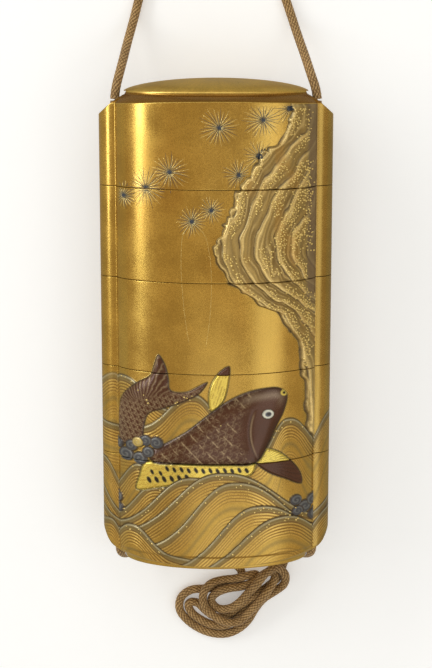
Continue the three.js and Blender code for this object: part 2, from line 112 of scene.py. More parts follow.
def pick(*objects):
    """Leave nothing selected but these objects, the first one active."""
    bpy.ops.object.select_all(action="DESELECT")
    for each in objects:
        each.select_set(True)
    bpy.context.view_layer.objects.active = objects[0] if objects else None


# ---------------------------------------------------------------- camera

def add_camera():
    bpy.ops.object.select_all(action="DESELECT")
    bpy.ops.object.camera_add(location=(0, 0.0623, 0.3437), rotation=(math.radians(-11), 0, 0))
    camera = bpy.context.object
    camera.name = "camera"
    camera.data.lens = 89.35
    camera.data.sensor_width = 36
    bpy.context.scene.camera = camera


add_camera()

# ---------------------------------------------------------------- cord

MOUTH_TOP = float(top_edge(BORE_X)) + 0.6
MOUTH_BOTTOM = float(bottom_edge(BORE_X)) - 0.6
REST_Z = 0.95                          # the middle of a cord that lies on the table

UPPER_ROUTE = [
    (-20.1, MOUTH_TOP, MID_Z), (-19.85, 47.4, 12.15), (-19.4, 49.4, 11.2), (-18.9, 51.5, 9.4),
    (-18.4, 53.7, 7.0), (-17.9, 56.0, 4.7), (-17.25, 58.6, 2.7), (-16.5, 61.4, 1.4),
    (-15.7, 64.6, REST_Z), (-13.7, 71.5, REST_Z), (-11.5, 79.5, REST_Z), (-9.3, 87.5, REST_Z),
    (-7.3, 94.0, REST_Z), (-5.0, 98.6, REST_Z), (-1.4, 100.6, REST_Z), (2.0, 98.2, REST_Z),
    (4.1, 93.4, REST_Z), (6.3, 86.8, REST_Z), (9.2, 78.6, REST_Z), (11.7, 71.5, REST_Z),
    (14.2, 64.6, REST_Z), (15.3, 61.4, 1.4), (16.2, 58.6, 2.7), (17.05, 56.0, 4.7),
    (17.8, 53.7, 7.0), (18.45, 51.5, 9.4), (19.1, 49.4, 11.2), (19.75, 47.4, 12.15),
    (20.1, MOUTH_TOP, MID_Z),
]
LOWER_ROUTE = [
    (-20.1, MOUTH_BOTTOM, MID_Z), (-20.0, -48.4, 11.5), (-19.4, -49.8, 9.2), (-18.2, -50.7, 6.0),
    (-16.2, -51.2, 3.2), (-13.8, -51.6, 1.5), (-11.0, -52.0, 1.0), (-8.0, -52.2, REST_Z),
    (-5.1, -52.4, REST_Z), (-2.1, -52.7, REST_Z), (0.7, -53.4, REST_Z),
    # the outer loop of the bow
    (3.4, -54.7, 1.0), (5.4, -56.3, 1.0), (5.4, -58.6, 1.0), (3.2, -59.9, 1.0),
    (0.4, -60.3, 1.0), (-2.6, -60.6, 1.0), (-5.5, -60.9, 1.0), (-7.6, -62.6, 1.0),
    (-7.9, -65.4, 1.0), (-6.1, -67.9, 1.0), (-3.6, -69.7, 1.0), (-0.7, -70.8, 1.0),
    (2.3, -70.9, 1.0), (4.9, -69.8, 1.0), (7.0, -67.8, 1.0), (8.5, -65.2, 1.0),
    (10.3, -62.9, 1.0), (12.7, -61.2, 1.1), (14.7, -59.3, 1.8), (14.9, -56.7, 2.9),
    # the top loop
    (13.0, -54.9, 3.6), (10.7, -56.0, 4.2), (8.8, -58.3, 4.6), (6.9, -60.5, 4.1),
    (5.0, -62.8, 3.7), (2.9, -64.5, 2.7), (0.3, -64.8, 1.8), (-1.1, -63.0, 1.8),
    (0.1, -60.9, 2.8), (2.8, -59.8, 3.0), (5.8, -59.4, 2.8), (8.6, -58.2, 2.7),
    # the middle loop
    (10.8, -56.5, 2.3), (12.8, -56.5, 2.3), (12.3, -58.6, 2.8), (10.6, -60.8, 3.9),
    (8.9, -63.1, 3.5), (7.1, -65.4, 2.7), (5.1, -67.4, 2.8), (2.2, -67.6, 2.8),
    (-0.4, -66.2, 2.8), (-2.4, -64.1, 2.7), (-2.8, -61.4, 2.7), (-1.3, -59.1, 2.3),
    (1.3, -58.4, 1.7), (4.1, -57.9, 2.2), (6.9, -57.0, 2.7),
    # the inner loop
    (8.9, -57.4, 1.1), (9.1, -59.6, 1.0), (7.9, -62.3, 1.0), (6.5, -64.9, 1.0),
    (4.6, -67.4, 1.0), (2.1, -69.0, 1.0), (-0.8, -68.8, 1.1), (-3.4, -67.6, 1.1),
    (-5.5, -65.8, 1.1), (-6.0, -63.8, 1.1), (-4.2, -63.7, 1.0), (-2.3, -65.5, 1.0),
    (0.0, -67.1, 1.0), (2.6, -66.7, 1.0), (4.5, -64.7, 1.5), (6.6, -62.7, 2.6),
    (9.2, -61.1, 2.6), (11.5, -59.7, 1.4), (13.7, -57.7, 1.0), (14.5, -55.0, 1.1),
    (15.4, -52.9, 1.9),
    # up to the right mouth
    (17.0, -51.3, 4.2), (18.4, -50.7, 6.4), (19.4, -49.8, 9.2),
    (20.0, -48.4, 11.5), (20.1, MOUTH_BOTTOM, MID_Z),
]


def curve_points(points, closed=False, steps=12):
    """A smooth centripetal curve through some points."""
    p = np.array(points, float)
    if closed:
        p = np.vstack([p[-1:], p, p[:2]])
    else:
        p = np.vstack([2 * p[:1] - p[1:2], p, 2 * p[-1:] - p[-2:-1]])
    out = []
    for i in range(1, len(p) - 2):
        a, b, c, d = p[i - 1], p[i], p[i + 1], p[i + 2]
        t1 = math.sqrt(np.linalg.norm(b - a))
        t2 = t1 + math.sqrt(np.linalg.norm(c - b))
        t3 = t2 + math.sqrt(np.linalg.norm(d - c))
        t = np.linspace(t1, t2, steps, endpoint=False)[:, None]
        a1 = a * (t1 - t) / t1 + b * t / t1
        a2 = b * (t2 - t) / (t2 - t1) + c * (t - t1) / (t2 - t1)
        a3 = c * (t3 - t) / (t3 - t2) + d * (t - t2) / (t3 - t2)
        b1 = a1 * (t2 - t) / t2 + a2 * t / t2
        b2 = a2 * (t3 - t) / (t3 - t1) + a3 * (t - t1) / (t3 - t1)
        out.append(b1 * (t2 - t) / (t2 - t1) + b2 * (t - t1) / (t2 - t1))
    line = np.vstack(out)
    return line if closed else np.vstack([line, p[-2:-1]])


def evenly(line, step):
    """The same line with points a fixed step apart."""
    along = np.concatenate([[0], np.cumsum(np.linalg.norm(np.diff(line, axis=0), axis=1))])
    count = max(2, int(round(along[-1] / step)) + 1)
    at = np.linspace(0, along[-1], count)
    return np.column_stack([np.interp(at, along, line[:, i]) for i in range(3)]), at


def eased(line, reach):
    """A line with its small kinks taken out, both ends kept."""
    width = np.arange(-3 * reach, 3 * reach + 1)
    weight = np.exp(-0.5 * (width / reach) ** 2)
    weight /= weight.sum()
    pad = 3 * reach
    long = np.vstack([2 * line[:1] - line[pad:0:-1], line, 2 * line[-1:] - line[-2:-pad - 2:-1]])
    return np.column_stack([np.convolve(long[:, i], weight, "valid") for i in range(3)])


def side_directions(line):
    """Two directions square to a line at each of its points, which turn as little as they can."""
    ahead = np.gradient(line, axis=0)
    ahead /= np.linalg.norm(ahead, axis=1)[:, None]
    side = np.zeros_like(line)
    first = np.cross(ahead[0], (0, 0, 1.0))
    side[0] = first / np.linalg.norm(first)
    for i in range(1, len(line)):
        left = side[i - 1] - ahead[i] * np.dot(side[i - 1], ahead[i])
        side[i] = left / np.linalg.norm(left)
    return side, np.cross(ahead, side)


STRANDS = 8                            # strands that turn each way round the braid
PLAIT = 8.4                            # length of one whole turn of a strand


def braid_relief(turn, along):
    """How high the strands stand at a place on the braid, from 0 in a groove to 1."""
    a = STRANDS * turn / (2 * math.pi) + STRANDS * along / PLAIT
    b = STRANDS * turn / (2 * math.pi) - STRANDS * along / PLAIT
    ridge_a = np.sqrt(np.maximum(0, 1 - (2 * (a % 1) - 1) ** 2 * 0.96))
    ridge_b = np.sqrt(np.maximum(0, 1 - (2 * (b % 1) - 1) ** 2 * 0.96))
    over_a = 0.5 + 0.5 * np.sin(math.pi * (b % 1) + math.pi * ((np.floor(a) + np.floor(b)) % 2))
    over_b = 1 - over_a
    return np.maximum(ridge_a * (0.35 + 0.65 * over_a), ridge_b * (0.35 + 0.65 * over_b))


def braided_cord(name, line, along, sides=32, depth=0.09):
    """A round braid along a line, closed at both ends, with how deep each place lies in a groove."""
    bpy.ops.object.select_all(action="DESELECT")
    bpy.ops.mesh.primitive_grid_add(x_subdivisions=sides, y_subdivisions=len(line) + 3, size=1)
    cord = bpy.context.object
    cord.name = cord.data.name = name
    turn = np.linspace(0, 2 * math.pi, sides + 1)
    side, up = side_directions(line)
    relief = braid_relief(turn[None, :], along[:, None])
    radius = CORD_DIAMETER / 2 - depth * (1 - relief)
    around = np.cos(turn)[None, :, None] * side[:, None] + np.sin(turn)[None, :, None] * up[:, None]
    skin = line[:, None] + radius[..., None] * around
    start, end = (np.repeat(line[i][None, None], sides + 1, axis=1) for i in (0, -1))
    near = [line[None, i] + 0.55 * (skin[i] - line[i]) for i in (0, -1)]
    rows = np.concatenate([start, near[0][None], skin, near[1][None], end])
    cord.data.vertices.foreach_set("co", (rows * MM).ravel())
    groove = np.concatenate([relief[:1], relief[:1], relief, relief[-1:], relief[-1:]])
    cord.data.attributes.new("strand", "FLOAT", "POINT").data.foreach_set("value", groove.ravel())
    length = np.concatenate([along[:1], along[:1], along, along[-1:], along[-1:]])
    spread = np.repeat(length[:, None], sides + 1, axis=1)
    cord.data.attributes.new("along", "FLOAT", "POINT").data.foreach_set("value", spread.ravel())
    pick(cord)
    bpy.ops.object.mode_set(mode="EDIT")
    bpy.ops.mesh.select_all(action="SELECT")
    bpy.ops.mesh.remove_doubles(threshold=1e-7)
    bpy.ops.mesh.normals_make_consistent(inside=False)
    bpy.ops.object.mode_set(mode="OBJECT")
    bpy.ops.object.shade_smooth()
    return cord


def node_maker(material):
    """Short ways to add nodes to a material and to join them."""
    tree = material.node_tree
    tree.nodes.clear()

    def add(kind, **settings):
        node = tree.nodes.new(kind)
        for key, value in settings.items():
            if key in ("operation", "blend_type", "data_type", "attribute_name", "noise_dimensions",
                       "interpolation", "feature", "clamp", "voronoi_dimensions", "use_clamp"):
                setattr(node, key, value)
            else:
                node.inputs[key].default_value = value
        return node

    def join(a, out, b, into):
        tree.links.new(a.outputs[out], b.inputs[into])

    return add, join


def finish_material(add, join, shader):
    output = add("ShaderNodeOutputMaterial")
    join(shader, "BSDF", output, "Surface")


def linear(red, green, blue):
    """A colour given as on a screen, 0 to 255, as the light that it stands for."""
    share = [v / 255 for v in (red, green, blue)]
    return tuple(v / 12.92 if v <= 0.04045 else ((v + 0.055) / 1.055) ** 2.4 for v in share)


def silk_material():
    """Spun silk in a tight round braid: soft gloss on the strands, and colour running from painted shade between
    them to a painted highlight on their crowns.
    """
    made = bpy.data.materials.new("braided_silk")
    made.use_nodes = True
    add, join = node_maker(made)
    strand = add("ShaderNodeAttribute", attribute_name="strand")
    # painted shade in the grooves between the strands, painted highlight on their crowns
    ramp = add("ShaderNodeValToRGB")
    ramp.color_ramp.elements[0].position = 0.30
    ramp.color_ramp.elements[0].color = (*linear(66, 46, 22), 1)
    ramp.color_ramp.elements[1].position = 0.97
    ramp.color_ramp.elements[1].color = (*linear(200, 164, 108), 1)
    middle = ramp.color_ramp.elements.new(0.72)
    middle.color = (*linear(140, 106, 58), 1)
    join(strand, "Fac", ramp, "Fac")
    where = add("ShaderNodeTexCoord")
    wear = add("ShaderNodeTexNoise", Scale=160.0, Detail=3.0)
    join(where, "Object", wear, "Vector")
    fibre = add("ShaderNodeTexNoise", Scale=5200.0, Detail=2.0)
    join(where, "Object", fibre, "Vector")
    shade = add("ShaderNodeMapRange")
    shade.inputs["From Min"].default_value = 0.3
    shade.inputs["From Max"].default_value = 0.7
    shade.inputs["To Min"].default_value = 0.82
    shade.inputs["To Max"].default_value = 1.14
    join(wear, "Fac", shade, "Value")
    tone = add("ShaderNodeVectorMath", operation="SCALE")
    join(ramp, "Color", tone, 0)
    join(shade, "Result", tone, "Scale")
    bump = add("ShaderNodeBump", Strength=0.35, Distance=0.00004)
    join(fibre, "Fac", bump, "Height")
    shader = add("ShaderNodeBsdfPrincipled", Roughness=0.62)
    shader.inputs["Sheen Weight"].default_value = 0.25
    shader.inputs["Sheen Roughness"].default_value = 0.4
    shader.inputs["Specular IOR Level"].default_value = 0.35
    join(tone, "Vector", shader, "Base Color")
    join(bump, "Normal", shader, "Normal")
    finish_material(add, join, shader)
    return made


SILK = silk_material()


def lay_cord(name, route, nodes, step, ease):
    line, _ = evenly(curve_points(route), step)
    line, along = evenly(eased(line, ease), step)
    cord = braided_cord(name, line, along)
    cord.data.materials.append(SILK)
    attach(cord, "root")
    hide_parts(*nodes)
    return cord


lay_cord("cord_above_lid", UPPER_ROUTE, ["cord_upper"], 0.16, 4)
lay_cord("cord_with_bow", LOWER_ROUTE,
                      ["cord_lower_left", "cord_bow", "cord_lower_right"], 0.16, 3)


def cord_in_runner(name, side, node):
    """The stretch of the same cord that lies hidden in a runner's bore."""
    low, high = MOUTH_BOTTOM + 0.3, MOUTH_TOP - 0.3
    line, along = evenly(np.array([(side * BORE_X, low, MID_Z), (side * BORE_X, high, MID_Z)]), 0.3)
    cord = braided_cord(name, line, along, sides=16)
    cord.data.materials.append(SILK)
    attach(cord, "root")
    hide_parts(node)


cord_in_runner("cord_in_left_runner", -1, "cord_run_left")
cord_in_runner("cord_in_right_runner", 1, "cord_run_right")

# ---------------------------------------------------------------- the picture, on a sheet in X and Y

PITCH = 0.08                           # the sheet's spacing
SHEET_X = np.arange(-20.4, 20.41, PITCH)
SHEET_Y = np.arange(-49.8, 46.81, PITCH)
X, Y = np.meshgrid(SHEET_X, SHEET_Y)


def soft(low, high, value):
    """0 below low, 1 above high, and a smooth slope between them."""
    t = np.clip((value - low) / (high - low), 0, 1)
    return t * t * (3 - 2 * t)


def line_at(value, centre, width):
    """1 where a value is at the centre, falling off to 0 within the width."""
    return np.exp(-((value - centre) / width) ** 2)


def look_up(field, x, y):
    """A sheet's value at any places, straight between its points."""
    col = np.clip((x - SHEET_X[0]) / PITCH, 0, len(SHEET_X) - 1.001)
    row = np.clip((y - SHEET_Y[0]) / PITCH, 0, len(SHEET_Y) - 1.001)
    i, j = col.astype(int), row.astype(int)
    u, v = col - i, row - j
    if field.ndim == 3:
        u, v = u[..., None], v[..., None]
    return ((field[j, i] * (1 - u) + field[j, i + 1] * u) * (1 - v)
            + (field[j + 1, i] * (1 - u) + field[j + 1, i + 1] * u) * v)


def blotches(seed, wide, high=None, layers=1):
    """Soft random blotches about so wide and high, from -1 to 1."""
    rng = np.random.default_rng(seed)
    high = high or wide
    total, weight = 0, 1.0
    for layer in range(layers):
        table = rng.uniform(-1, 1, (64, 64))
        turn = 0.35 + 1.1 * layer if high == wide else 0.0
        gx = (X * math.cos(turn) + Y * math.sin(turn)) / wide + 500
        gy = (-X * math.sin(turn) + Y * math.cos(turn)) / high + 500
        i, j = gx.astype(int), gy.astype(int)
        u, v = gx - i, gy - j
        u, v = u * u * (3 - 2 * u), v * v * (3 - 2 * v)
        i0, i1, j0, j1 = i % 64, (i + 1) % 64, j % 64, (j + 1) % 64
        total = total + weight * ((table[j0, i0] * (1 - u) + table[j0, i1] * u) * (1 - v)
                                  + (table[j1, i0] * (1 - u) + table[j1, i1] * u) * v)
        wide, high, weight = wide / 2, high / 2, weight / 2
    return total


FAR = -3.0


def depth_inside(outline):
    """How far inside a closed outline each place lies: negative outside it, FAR well outside."""
    outline = np.asarray(outline, float)[:, :2]
    depth = np.full(X.shape, FAR)
    low, high = outline.min(0) + FAR, outline.max(0) - FAR
    cols = slice(*np.searchsorted(SHEET_X, (low[0], high[0])))
    rows = slice(*np.searchsorted(SHEET_Y, (low[1], high[1])))
    px, py = X[rows, cols], Y[rows, cols]
    nearest = np.full(px.shape, 1e9)
    within = np.zeros(px.shape, bool)
    for (ax, ay), (bx, by) in zip(outline, np.roll(outline, -1, axis=0)):
        dx, dy = bx - ax, by - ay
        t = np.clip(((px - ax) * dx + (py - ay) * dy) / (dx * dx + dy * dy + 1e-12), 0, 1)
        nearest = np.minimum(nearest, (px - ax - t * dx) ** 2 + (py - ay - t * dy) ** 2)
        crosses = (ay > py) != (by > py)
        if dy:
            within ^= crosses & (px < ax + (py - ay) * dx / dy)
    distance = np.minimum(np.sqrt(nearest), -FAR)
    depth[rows, cols] = np.where(within, distance, -distance)
    return depth


def figure(points):
    """Depth inside a smooth closed outline through a few points."""
    flat = [(x, y, 0) for x, y in points]
    return depth_inside(curve_points(flat, closed=True, steps=6))


class Sheet:
    """The picture as it is laid up: colour, how metallic, how rough, and how raised."""

    def __init__(self):
        self.tint = np.zeros(X.shape + (3,))
        self.metal = np.ones(X.shape)
        self.rough = np.full(X.shape, 0.3)
        self.height = np.zeros(X.shape)

    def lay(self, cover, colour, metal=None, rough=None):
        cover = np.clip(cover, 0, 1)
        self.tint += cover[..., None] * (np.asarray(colour) - self.tint)
        if metal is not None:
            self.metal += cover * (metal - self.metal)
        if rough is not None:
            self.rough += cover * (rough - self.rough)


GOLD = linear(204, 174, 88)
PALE_GOLD = linear(218, 194, 108)
RED_GOLD = linear(188, 146, 66)
LINE_GOLD = linear(244, 216, 128)
BRIGHT_GOLD = linear(252, 236, 120)
LINE_BROWN = linear(108, 62, 26)
OLIVE = linear(130, 114, 72)
RIM = linear(200, 196, 160)
DARK = linear(58, 40, 20)
TAUPE = linear(180, 156, 92)
TAUPE_DARK = linear(112, 90, 52)
TAUPE_LIGHT = linear(238, 216, 146)
CARP_BROWN = linear(82, 46, 26)
CARP_DARK = linear(40, 24, 18)
SCALE_LINE = linear(206, 182, 138)
BLUE_GREY = linear(84, 90, 98)
PALE_GREY = linear(158, 160, 150)
PEARL = linear(226, 226, 206)
BLACK = linear(24, 18, 14)

PINE_TRUNK = [
    (14.6, 44.6), (13.4, 39.5), (10.2, 36.4), (7.4, 32.9), (4.2, 28.2), (2.6, 23.3),
    (0.2, 19.4), (-0.1, 15.2), (2.9, 10.4), (6.2, 7.6), (9.6, 5.3), (12.4, 3.6),
    (14.4, -0.2), (16.4, -3.6), (17.1, -9.6), (18.3, -16.0), (19.0, -23.0),
    (21.5, -23.0), (24.0, 0.0), (24.0, 20.0), (24.0, 42.0), (21.5, 47.0), (15.5, 47.5),
]
CARP_BODY = [
    (14.1, -12.4), (12.4, -11.0), (9.4, -10.9), (5.8, -11.6), (2.0, -13.4), (-1.6, -16.0),
    (-5.8, -19.4), (-9.8, -22.0), (-13.2, -24.2), (-12.8, -26.1), (-6.0, -26.2), (1.5, -26.2),
    (7.9, -25.9), (10.2, -22.6), (12.0, -18.8), (13.6, -15.6),
]
CARP_BELLY = [
    (-14.0, -26.2), (-6.0, -26.1), (1.5, -26.1), (7.8, -26.0), (7.0, -28.4), (0.0, -29.0),
    (-6.0, -30.2), (-11.4, -31.4), (-16.0, -32.4), (-15.4, -29.4),
]
CARP_TAIL = [
    (-18.9, -23.2), (-19.6, -18.0), (-18.7, -13.4), (-15.6, -10.2), (-13.0, -8.4),
    (-12.2, -6.0), (-11.4, -4.2), (-10.2, -5.8), (-9.4, -8.6), (-9.0, -11.2), (-5.8, -11.4),
    (-3.4, -10.2), (-1.7, -9.4), (-3.2, -11.6), (-6.4, -13.4), (-10.4, -15.0), (-13.4, -16.4),
    (-14.4, -19.4), (-14.8, -22.4),
]
DORSAL_FIN = [
    (-1.0, -15.2), (-1.5, -12.2), (-0.7, -9.2), (1.0, -7.0), (2.6, -6.2), (2.5, -9.4), (1.4, -13.4),
]
BREAST_FIN = [
    (8.0, -25.8), (9.4, -23.2), (12.2, -23.8), (14.8, -26.0), (17.0, -29.2), (17.2, -31.4),
    (13.8, -29.8), (10.2, -28.0),
]
# Each wave's crest, its reach to the left and right, and the level it falls to, far to near.
WAVES = [
    (-18.8, -9.2, 3.0, 5.6, -15.0), (-4.6, -11.8, 6.0, 5.0, -19.0), (14.4, -17.4, 4.2, 5.4, -26.0),
    (-15.2, -26.9, 4.4, 5.0, -34.0), (-11.6, -30.7, 6.0, 5.0, -39.0), (-4.4, -28.8, 9.7, 8.0, -40.0),
    (1.2, -27.8, 11.8, 15.0, -41.0), (3.8, -29.8, 10.2, 13.0, -43.5), (-17.0, -39.9, 3.6, 4.8, -45.2),
    (8.6, -34.9, 10.0, 12.2, -47.5), (13.6, -37.5, 11.0, 9.0, -48.5),
]
FOAM_CURLS = [
    (-17.8, -25.3, 1.5), (-15.0, -25.7, 1.4), (-13.4, -24.2, 1.2), (-19.6, -23.4, 1.2),
    (-16.7, -23.3, 1.2), (-11.7, -22.1, 1.3), (-13.9, -21.9, 1.2), (-15.4, -22.4, 1.1),
    (-20.0, -34.8, 1.3), (-19.6, -37.0, 1.1), (15.9, -34.6, 1.2), (17.7, -36.3, 1.4),
    (16.2, -36.9, 1.1), (19.4, -35.2, 1.3), (19.8, -38.4, 1.4),
]
BELLY_DASHES = [(-9.6 + 1.42 * i, -27.25 - 0.12 * (i % 2), 0.85) for i in range(12)] + \
    [(-13.2 + 1.5 * i, -29.9 + 0.22 * i, 1.0) for i in range(6)] + \
    [(-12.6, -28.2, 0.8), (-10.9, -28.3, 0.8)]
NEEDLE_TUFTS = [
    (9.1, 41.9, 3.7, 1.0), (0.6, 40.5, 3.7, 0.7), (14.2, 44.0, 3.2, 0.5), (8.3, 35.0, 3.0, 0.6),
    (-9.0, 31.9, 3.6, 0.6), (-13.7, 28.7, 3.9, 0.8), (-18.2, 26.9, 2.6, 0.5), (4.4, 31.4, 3.0, 0.6),
    (-0.9, 24.6, 2.6, 0.5), (-4.7, 22.4, 3.0, 0.6),
]


LINE_PITCH = 0.62                      # from one fine line of a wave to the next
WAVE_LEVEL, WAVE_LEVEL_STEP = 0.12, 0.035  # height of the farthest wave, and what each nearer one adds
EYE = dict(x=10.1, y=-16.0, a=1.1, b=0.9)
DASH_TURN = -0.5                       # radians that a dash on the belly leans by
WAVE_END = 2.6                         # a wave's line runs on to this many times its reach


def wave_crest(wave, x):
    """Height of a wave's crest line, and how far out along its reach a place is."""
    at, top, left, right, foot = wave
    reach = np.where(x < at, left, right)
    away = np.abs(x - at) / reach
    fall = 0.12 * reach * np.maximum(0, away - 1.2)
    return foot + (top - foot) * np.exp(-away ** 2.4) - fall, away


def lay_ground(sheet):
    cloud = blotches(3, 9.0, 14.0, 3)
    sheet.lay(np.ones(X.shape), GOLD)
    sheet.lay(0.35 * soft(0.0, 1.2, cloud), RED_GOLD)
    sheet.lay(0.40 * soft(0.1, 1.2, -cloud) + 0.35 * soft(14, -8, Y), PALE_GOLD)
    sheet.rough = 0.25 + 0.03 * blotches(5, 5.0, 9.0, 2)
    for x, y, reach, strength in NEEDLE_TUFTS:
        away = np.hypot(X - x, Y - y)
        sheet.lay(0.22 * (1 - soft(0.4 * reach, 1.1 * reach, away)), PALE_GOLD)
        sheet.lay((0.35 + 0.3 * strength) * np.exp(-(away / 0.85) ** 2), BLUE_GREY, metal=0.5)
    # faint curling lines, as of far branches, between the tufts of needles
    near = sum(np.exp(-((X - x) ** 2 + (Y - y) ** 2) / (2 * (1.3 * r) ** 2)) for x, y, r, _ in NEEDLE_TUFTS)
    curl = blotches(11, 2.0, 2.0, 2) * 3.2
    scroll = line_at(curl % 1, 0.5, 0.10) * soft(0.25, 0.7, near) * soft(-9, -2, X)
    sheet.lay(0.30 * scroll, LINE_GOLD, rough=0.25)
    scroll = line_at((curl + 0.35) % 1, 0.5, 0.08) * soft(0.4, 0.8, near) * soft(-6, 2, X)
    sheet.lay(0.14 * scroll, BLUE_GREY)


def lay_wave(sheet, wave, index, ripple):
    crest, away = wave_crest(wave, X)
    slope = np.abs(np.gradient(crest, PITCH, axis=1))
    depth = (crest - Y) / np.sqrt(1 + (0.55 * slope) ** 2)
    here = (depth > 0) & (away < WAVE_END)
    cover = here * 1.0
    sheet.lay(cover, GOLD, metal=0.95, rough=0.32)
    sheet.lay(cover * (0.22 + 0.2 * ripple), PALE_GOLD)
    place = depth + 0.10 * ripple
    band = soft(0.0, 0.2, place) * (1 - soft(1.1, 2.1, place))
    sheet.lay(cover * 0.86 * band, OLIVE, metal=0.55, rough=0.42)
    # groups of fine lines that run along under the crest
    for start, end, strength in ((1.0, 4.9, 1.0), (6.6, 9.4, 0.65), (11.5, 14.2, 0.5)):
        group = soft(start, start + 0.5, place) * (1 - soft(end - 1.4, end, place))
        phase = (place / LINE_PITCH) % 1
        sheet.lay(cover * strength * 0.92 * group * line_at(phase, 0.25, 0.18), LINE_BROWN, metal=0.6)
        sheet.lay(cover * strength * 0.85 * group * line_at(phase, 0.72, 0.15), LINE_GOLD, rough=0.24)
    for at in (5.4, 10.2):
        sheet.lay(cover * 0.5 * line_at(place, at, 0.5), OLIVE, metal=0.6)
    sheet.lay(cover * 0.85 * line_at(depth, 0.34, 0.16), RIM, metal=0.6, rough=0.3)
    sheet.lay((away < WAVE_END) * 0.95 * line_at(depth, 0.05, 0.16), DARK, metal=0.4)
    level = WAVE_LEVEL + WAVE_LEVEL_STEP * index
    lines = 0.025 * np.cos(2 * math.pi * place / LINE_PITCH) * soft(0.8, 1.4, place) * (1 - soft(4.0, 5.0, place))
    body = level + 0.07 * line_at(depth, 0.42, 0.32) + lines
    sheet.height = np.where(here, body * soft(0.0, 0.22, depth) + 0.0, sheet.height)


def lay_trunk(sheet):
    bend_x, bend_y = blotches(21, 2.3, 2.3, 2), blotches(22, 2.3, 2.3, 2)
    plain = figure(PINE_TRUNK)
    depth = look_up(plain, X + 0.55 * bend_x, Y + 0.55 * bend_y)
    bumps = np.abs(np.sin(math.pi * (Y + 0.45 * X + 1.3 * bend_y) / 3.1))
    depth = np.minimum(depth + (0.15 + 0.35 * soft(-4, 8, Y)) * (bumps - 0.7), 0.55 * (Y + 24.0))
    cover = soft(-0.06, 0.06, depth)
    # long gnarled ridges that follow the trunk's left side
    left = np.array(sorted((y, x) for x, y in PINE_TRUNK[:17]))
    left = np.column_stack([SHEET_Y, np.interp(SHEET_Y, left[:, 0], left[:, 1])])
    kernel = np.hanning(50) / np.hanning(50).sum()
    side = np.convolve(np.pad(left[:, 1], 25, "edge"), kernel, "same")[25:-25]
    reach = X - side[:, None] + 0.9 * blotches(23, 3.6, 8.0, 2) + 0.22 * blotches(24, 1.0, 2.2)
    ridge = (reach / 3.6) % 1
    step = soft(0.0, 0.12, ridge) * (1 - soft(0.35, 1.0, ridge))
    fine = (reach / 1.15 + 0.3 * blotches(25, 1.2, 4.0)) % 1
    fine_step = soft(0.0, 0.2, fine) * (1 - soft(0.4, 1.0, fine))
    knots = blotches(26, 2.0, 5.0, 2)
    sheet.lay(cover, TAUPE, metal=0.7, rough=0.40)
    sheet.lay(cover * 0.75 * (1 - step) * soft(-0.8, 0.5, -ridge + 0.6 + 0.4 * knots), TAUPE_DARK)
    sheet.lay(cover * 0.35 * (1 - fine_step), TAUPE_DARK, metal=0.4)
    sheet.lay(cover * 0.55 * line_at(fine, 0.25, 0.12) * soft(-0.4, 0.6, knots), TAUPE_LIGHT, rough=0.32)
    # painted highlight along each ridge's steep edge, and a dark line at its foot as painted shadow
    sheet.lay(cover * 0.95 * line_at(ridge, 0.15, 0.10), TAUPE_LIGHT, metal=0.8, rough=0.28)
    sheet.lay(cover * 0.9 * line_at(ridge, 0.01, 0.06), DARK, metal=0.3)
    sheet.lay(cover * 0.4 * soft(0.2, 0.9, blotches(27, 3.0, 6.0, 2)), RED_GOLD)
    edge = soft(17.2, 18.2, X) * soft(4.0, 8.0, Y)
    sheet.lay(cover * 0.8 * edge, linear(128, 108, 82), metal=0.6, rough=0.36)
    # painted highlight along the raised rim just inside the trunk's outline
    sheet.lay(cover * 0.9 * line_at(depth, 0.42, 0.2), TAUPE_LIGHT, metal=0.75, rough=0.3)
    sheet.lay(0.92 * line_at(depth, 0.0, 0.15), DARK, metal=0.3)
    raised = 0.40 + 0.33 * step * (1 - edge) + 0.07 * fine_step * (1 - edge)
    raised = (raised + 0.12 * line_at(depth, 0.4, 0.3)) * soft(0.0, 0.3, depth)
    sheet.height = np.where(depth > 0, np.maximum(sheet.height, raised), sheet.height)
    sheet.trunk = depth
    sheet.dots = cover * soft(0.3, 0.8, depth) * np.clip(
        line_at(ridge, 0.42, 0.26) * soft(-0.6, 0.1, blotches(28, 3.2, 5.0, 2)) * (1 - edge)
        + 0.8 * line_at(X, 18.0, 0.6) * soft(-0.4, 0.4, blotches(29, 2.0, 6.0)), 0, 1)


def scale_lines(u, v):
    """Fine lines round overlapping scales, on a surface with places u along and v across."""
    row = np.floor(v)
    shift = u + 0.5 * (row % 2)
    near = np.full(u.shape, 9.0)
    for extra in (0, 1):
        cell = np.floor(shift - extra * 0.5) + 0.5 + extra * 0.5
        across = v - row - (0.5 if extra == 0 else 1.0)
        away = np.hypot(shift - cell + 0.15, across * 1.05)
        near = np.minimum(near, np.abs(away - 0.52))
    return np.exp(-(near / 0.055) ** 2)


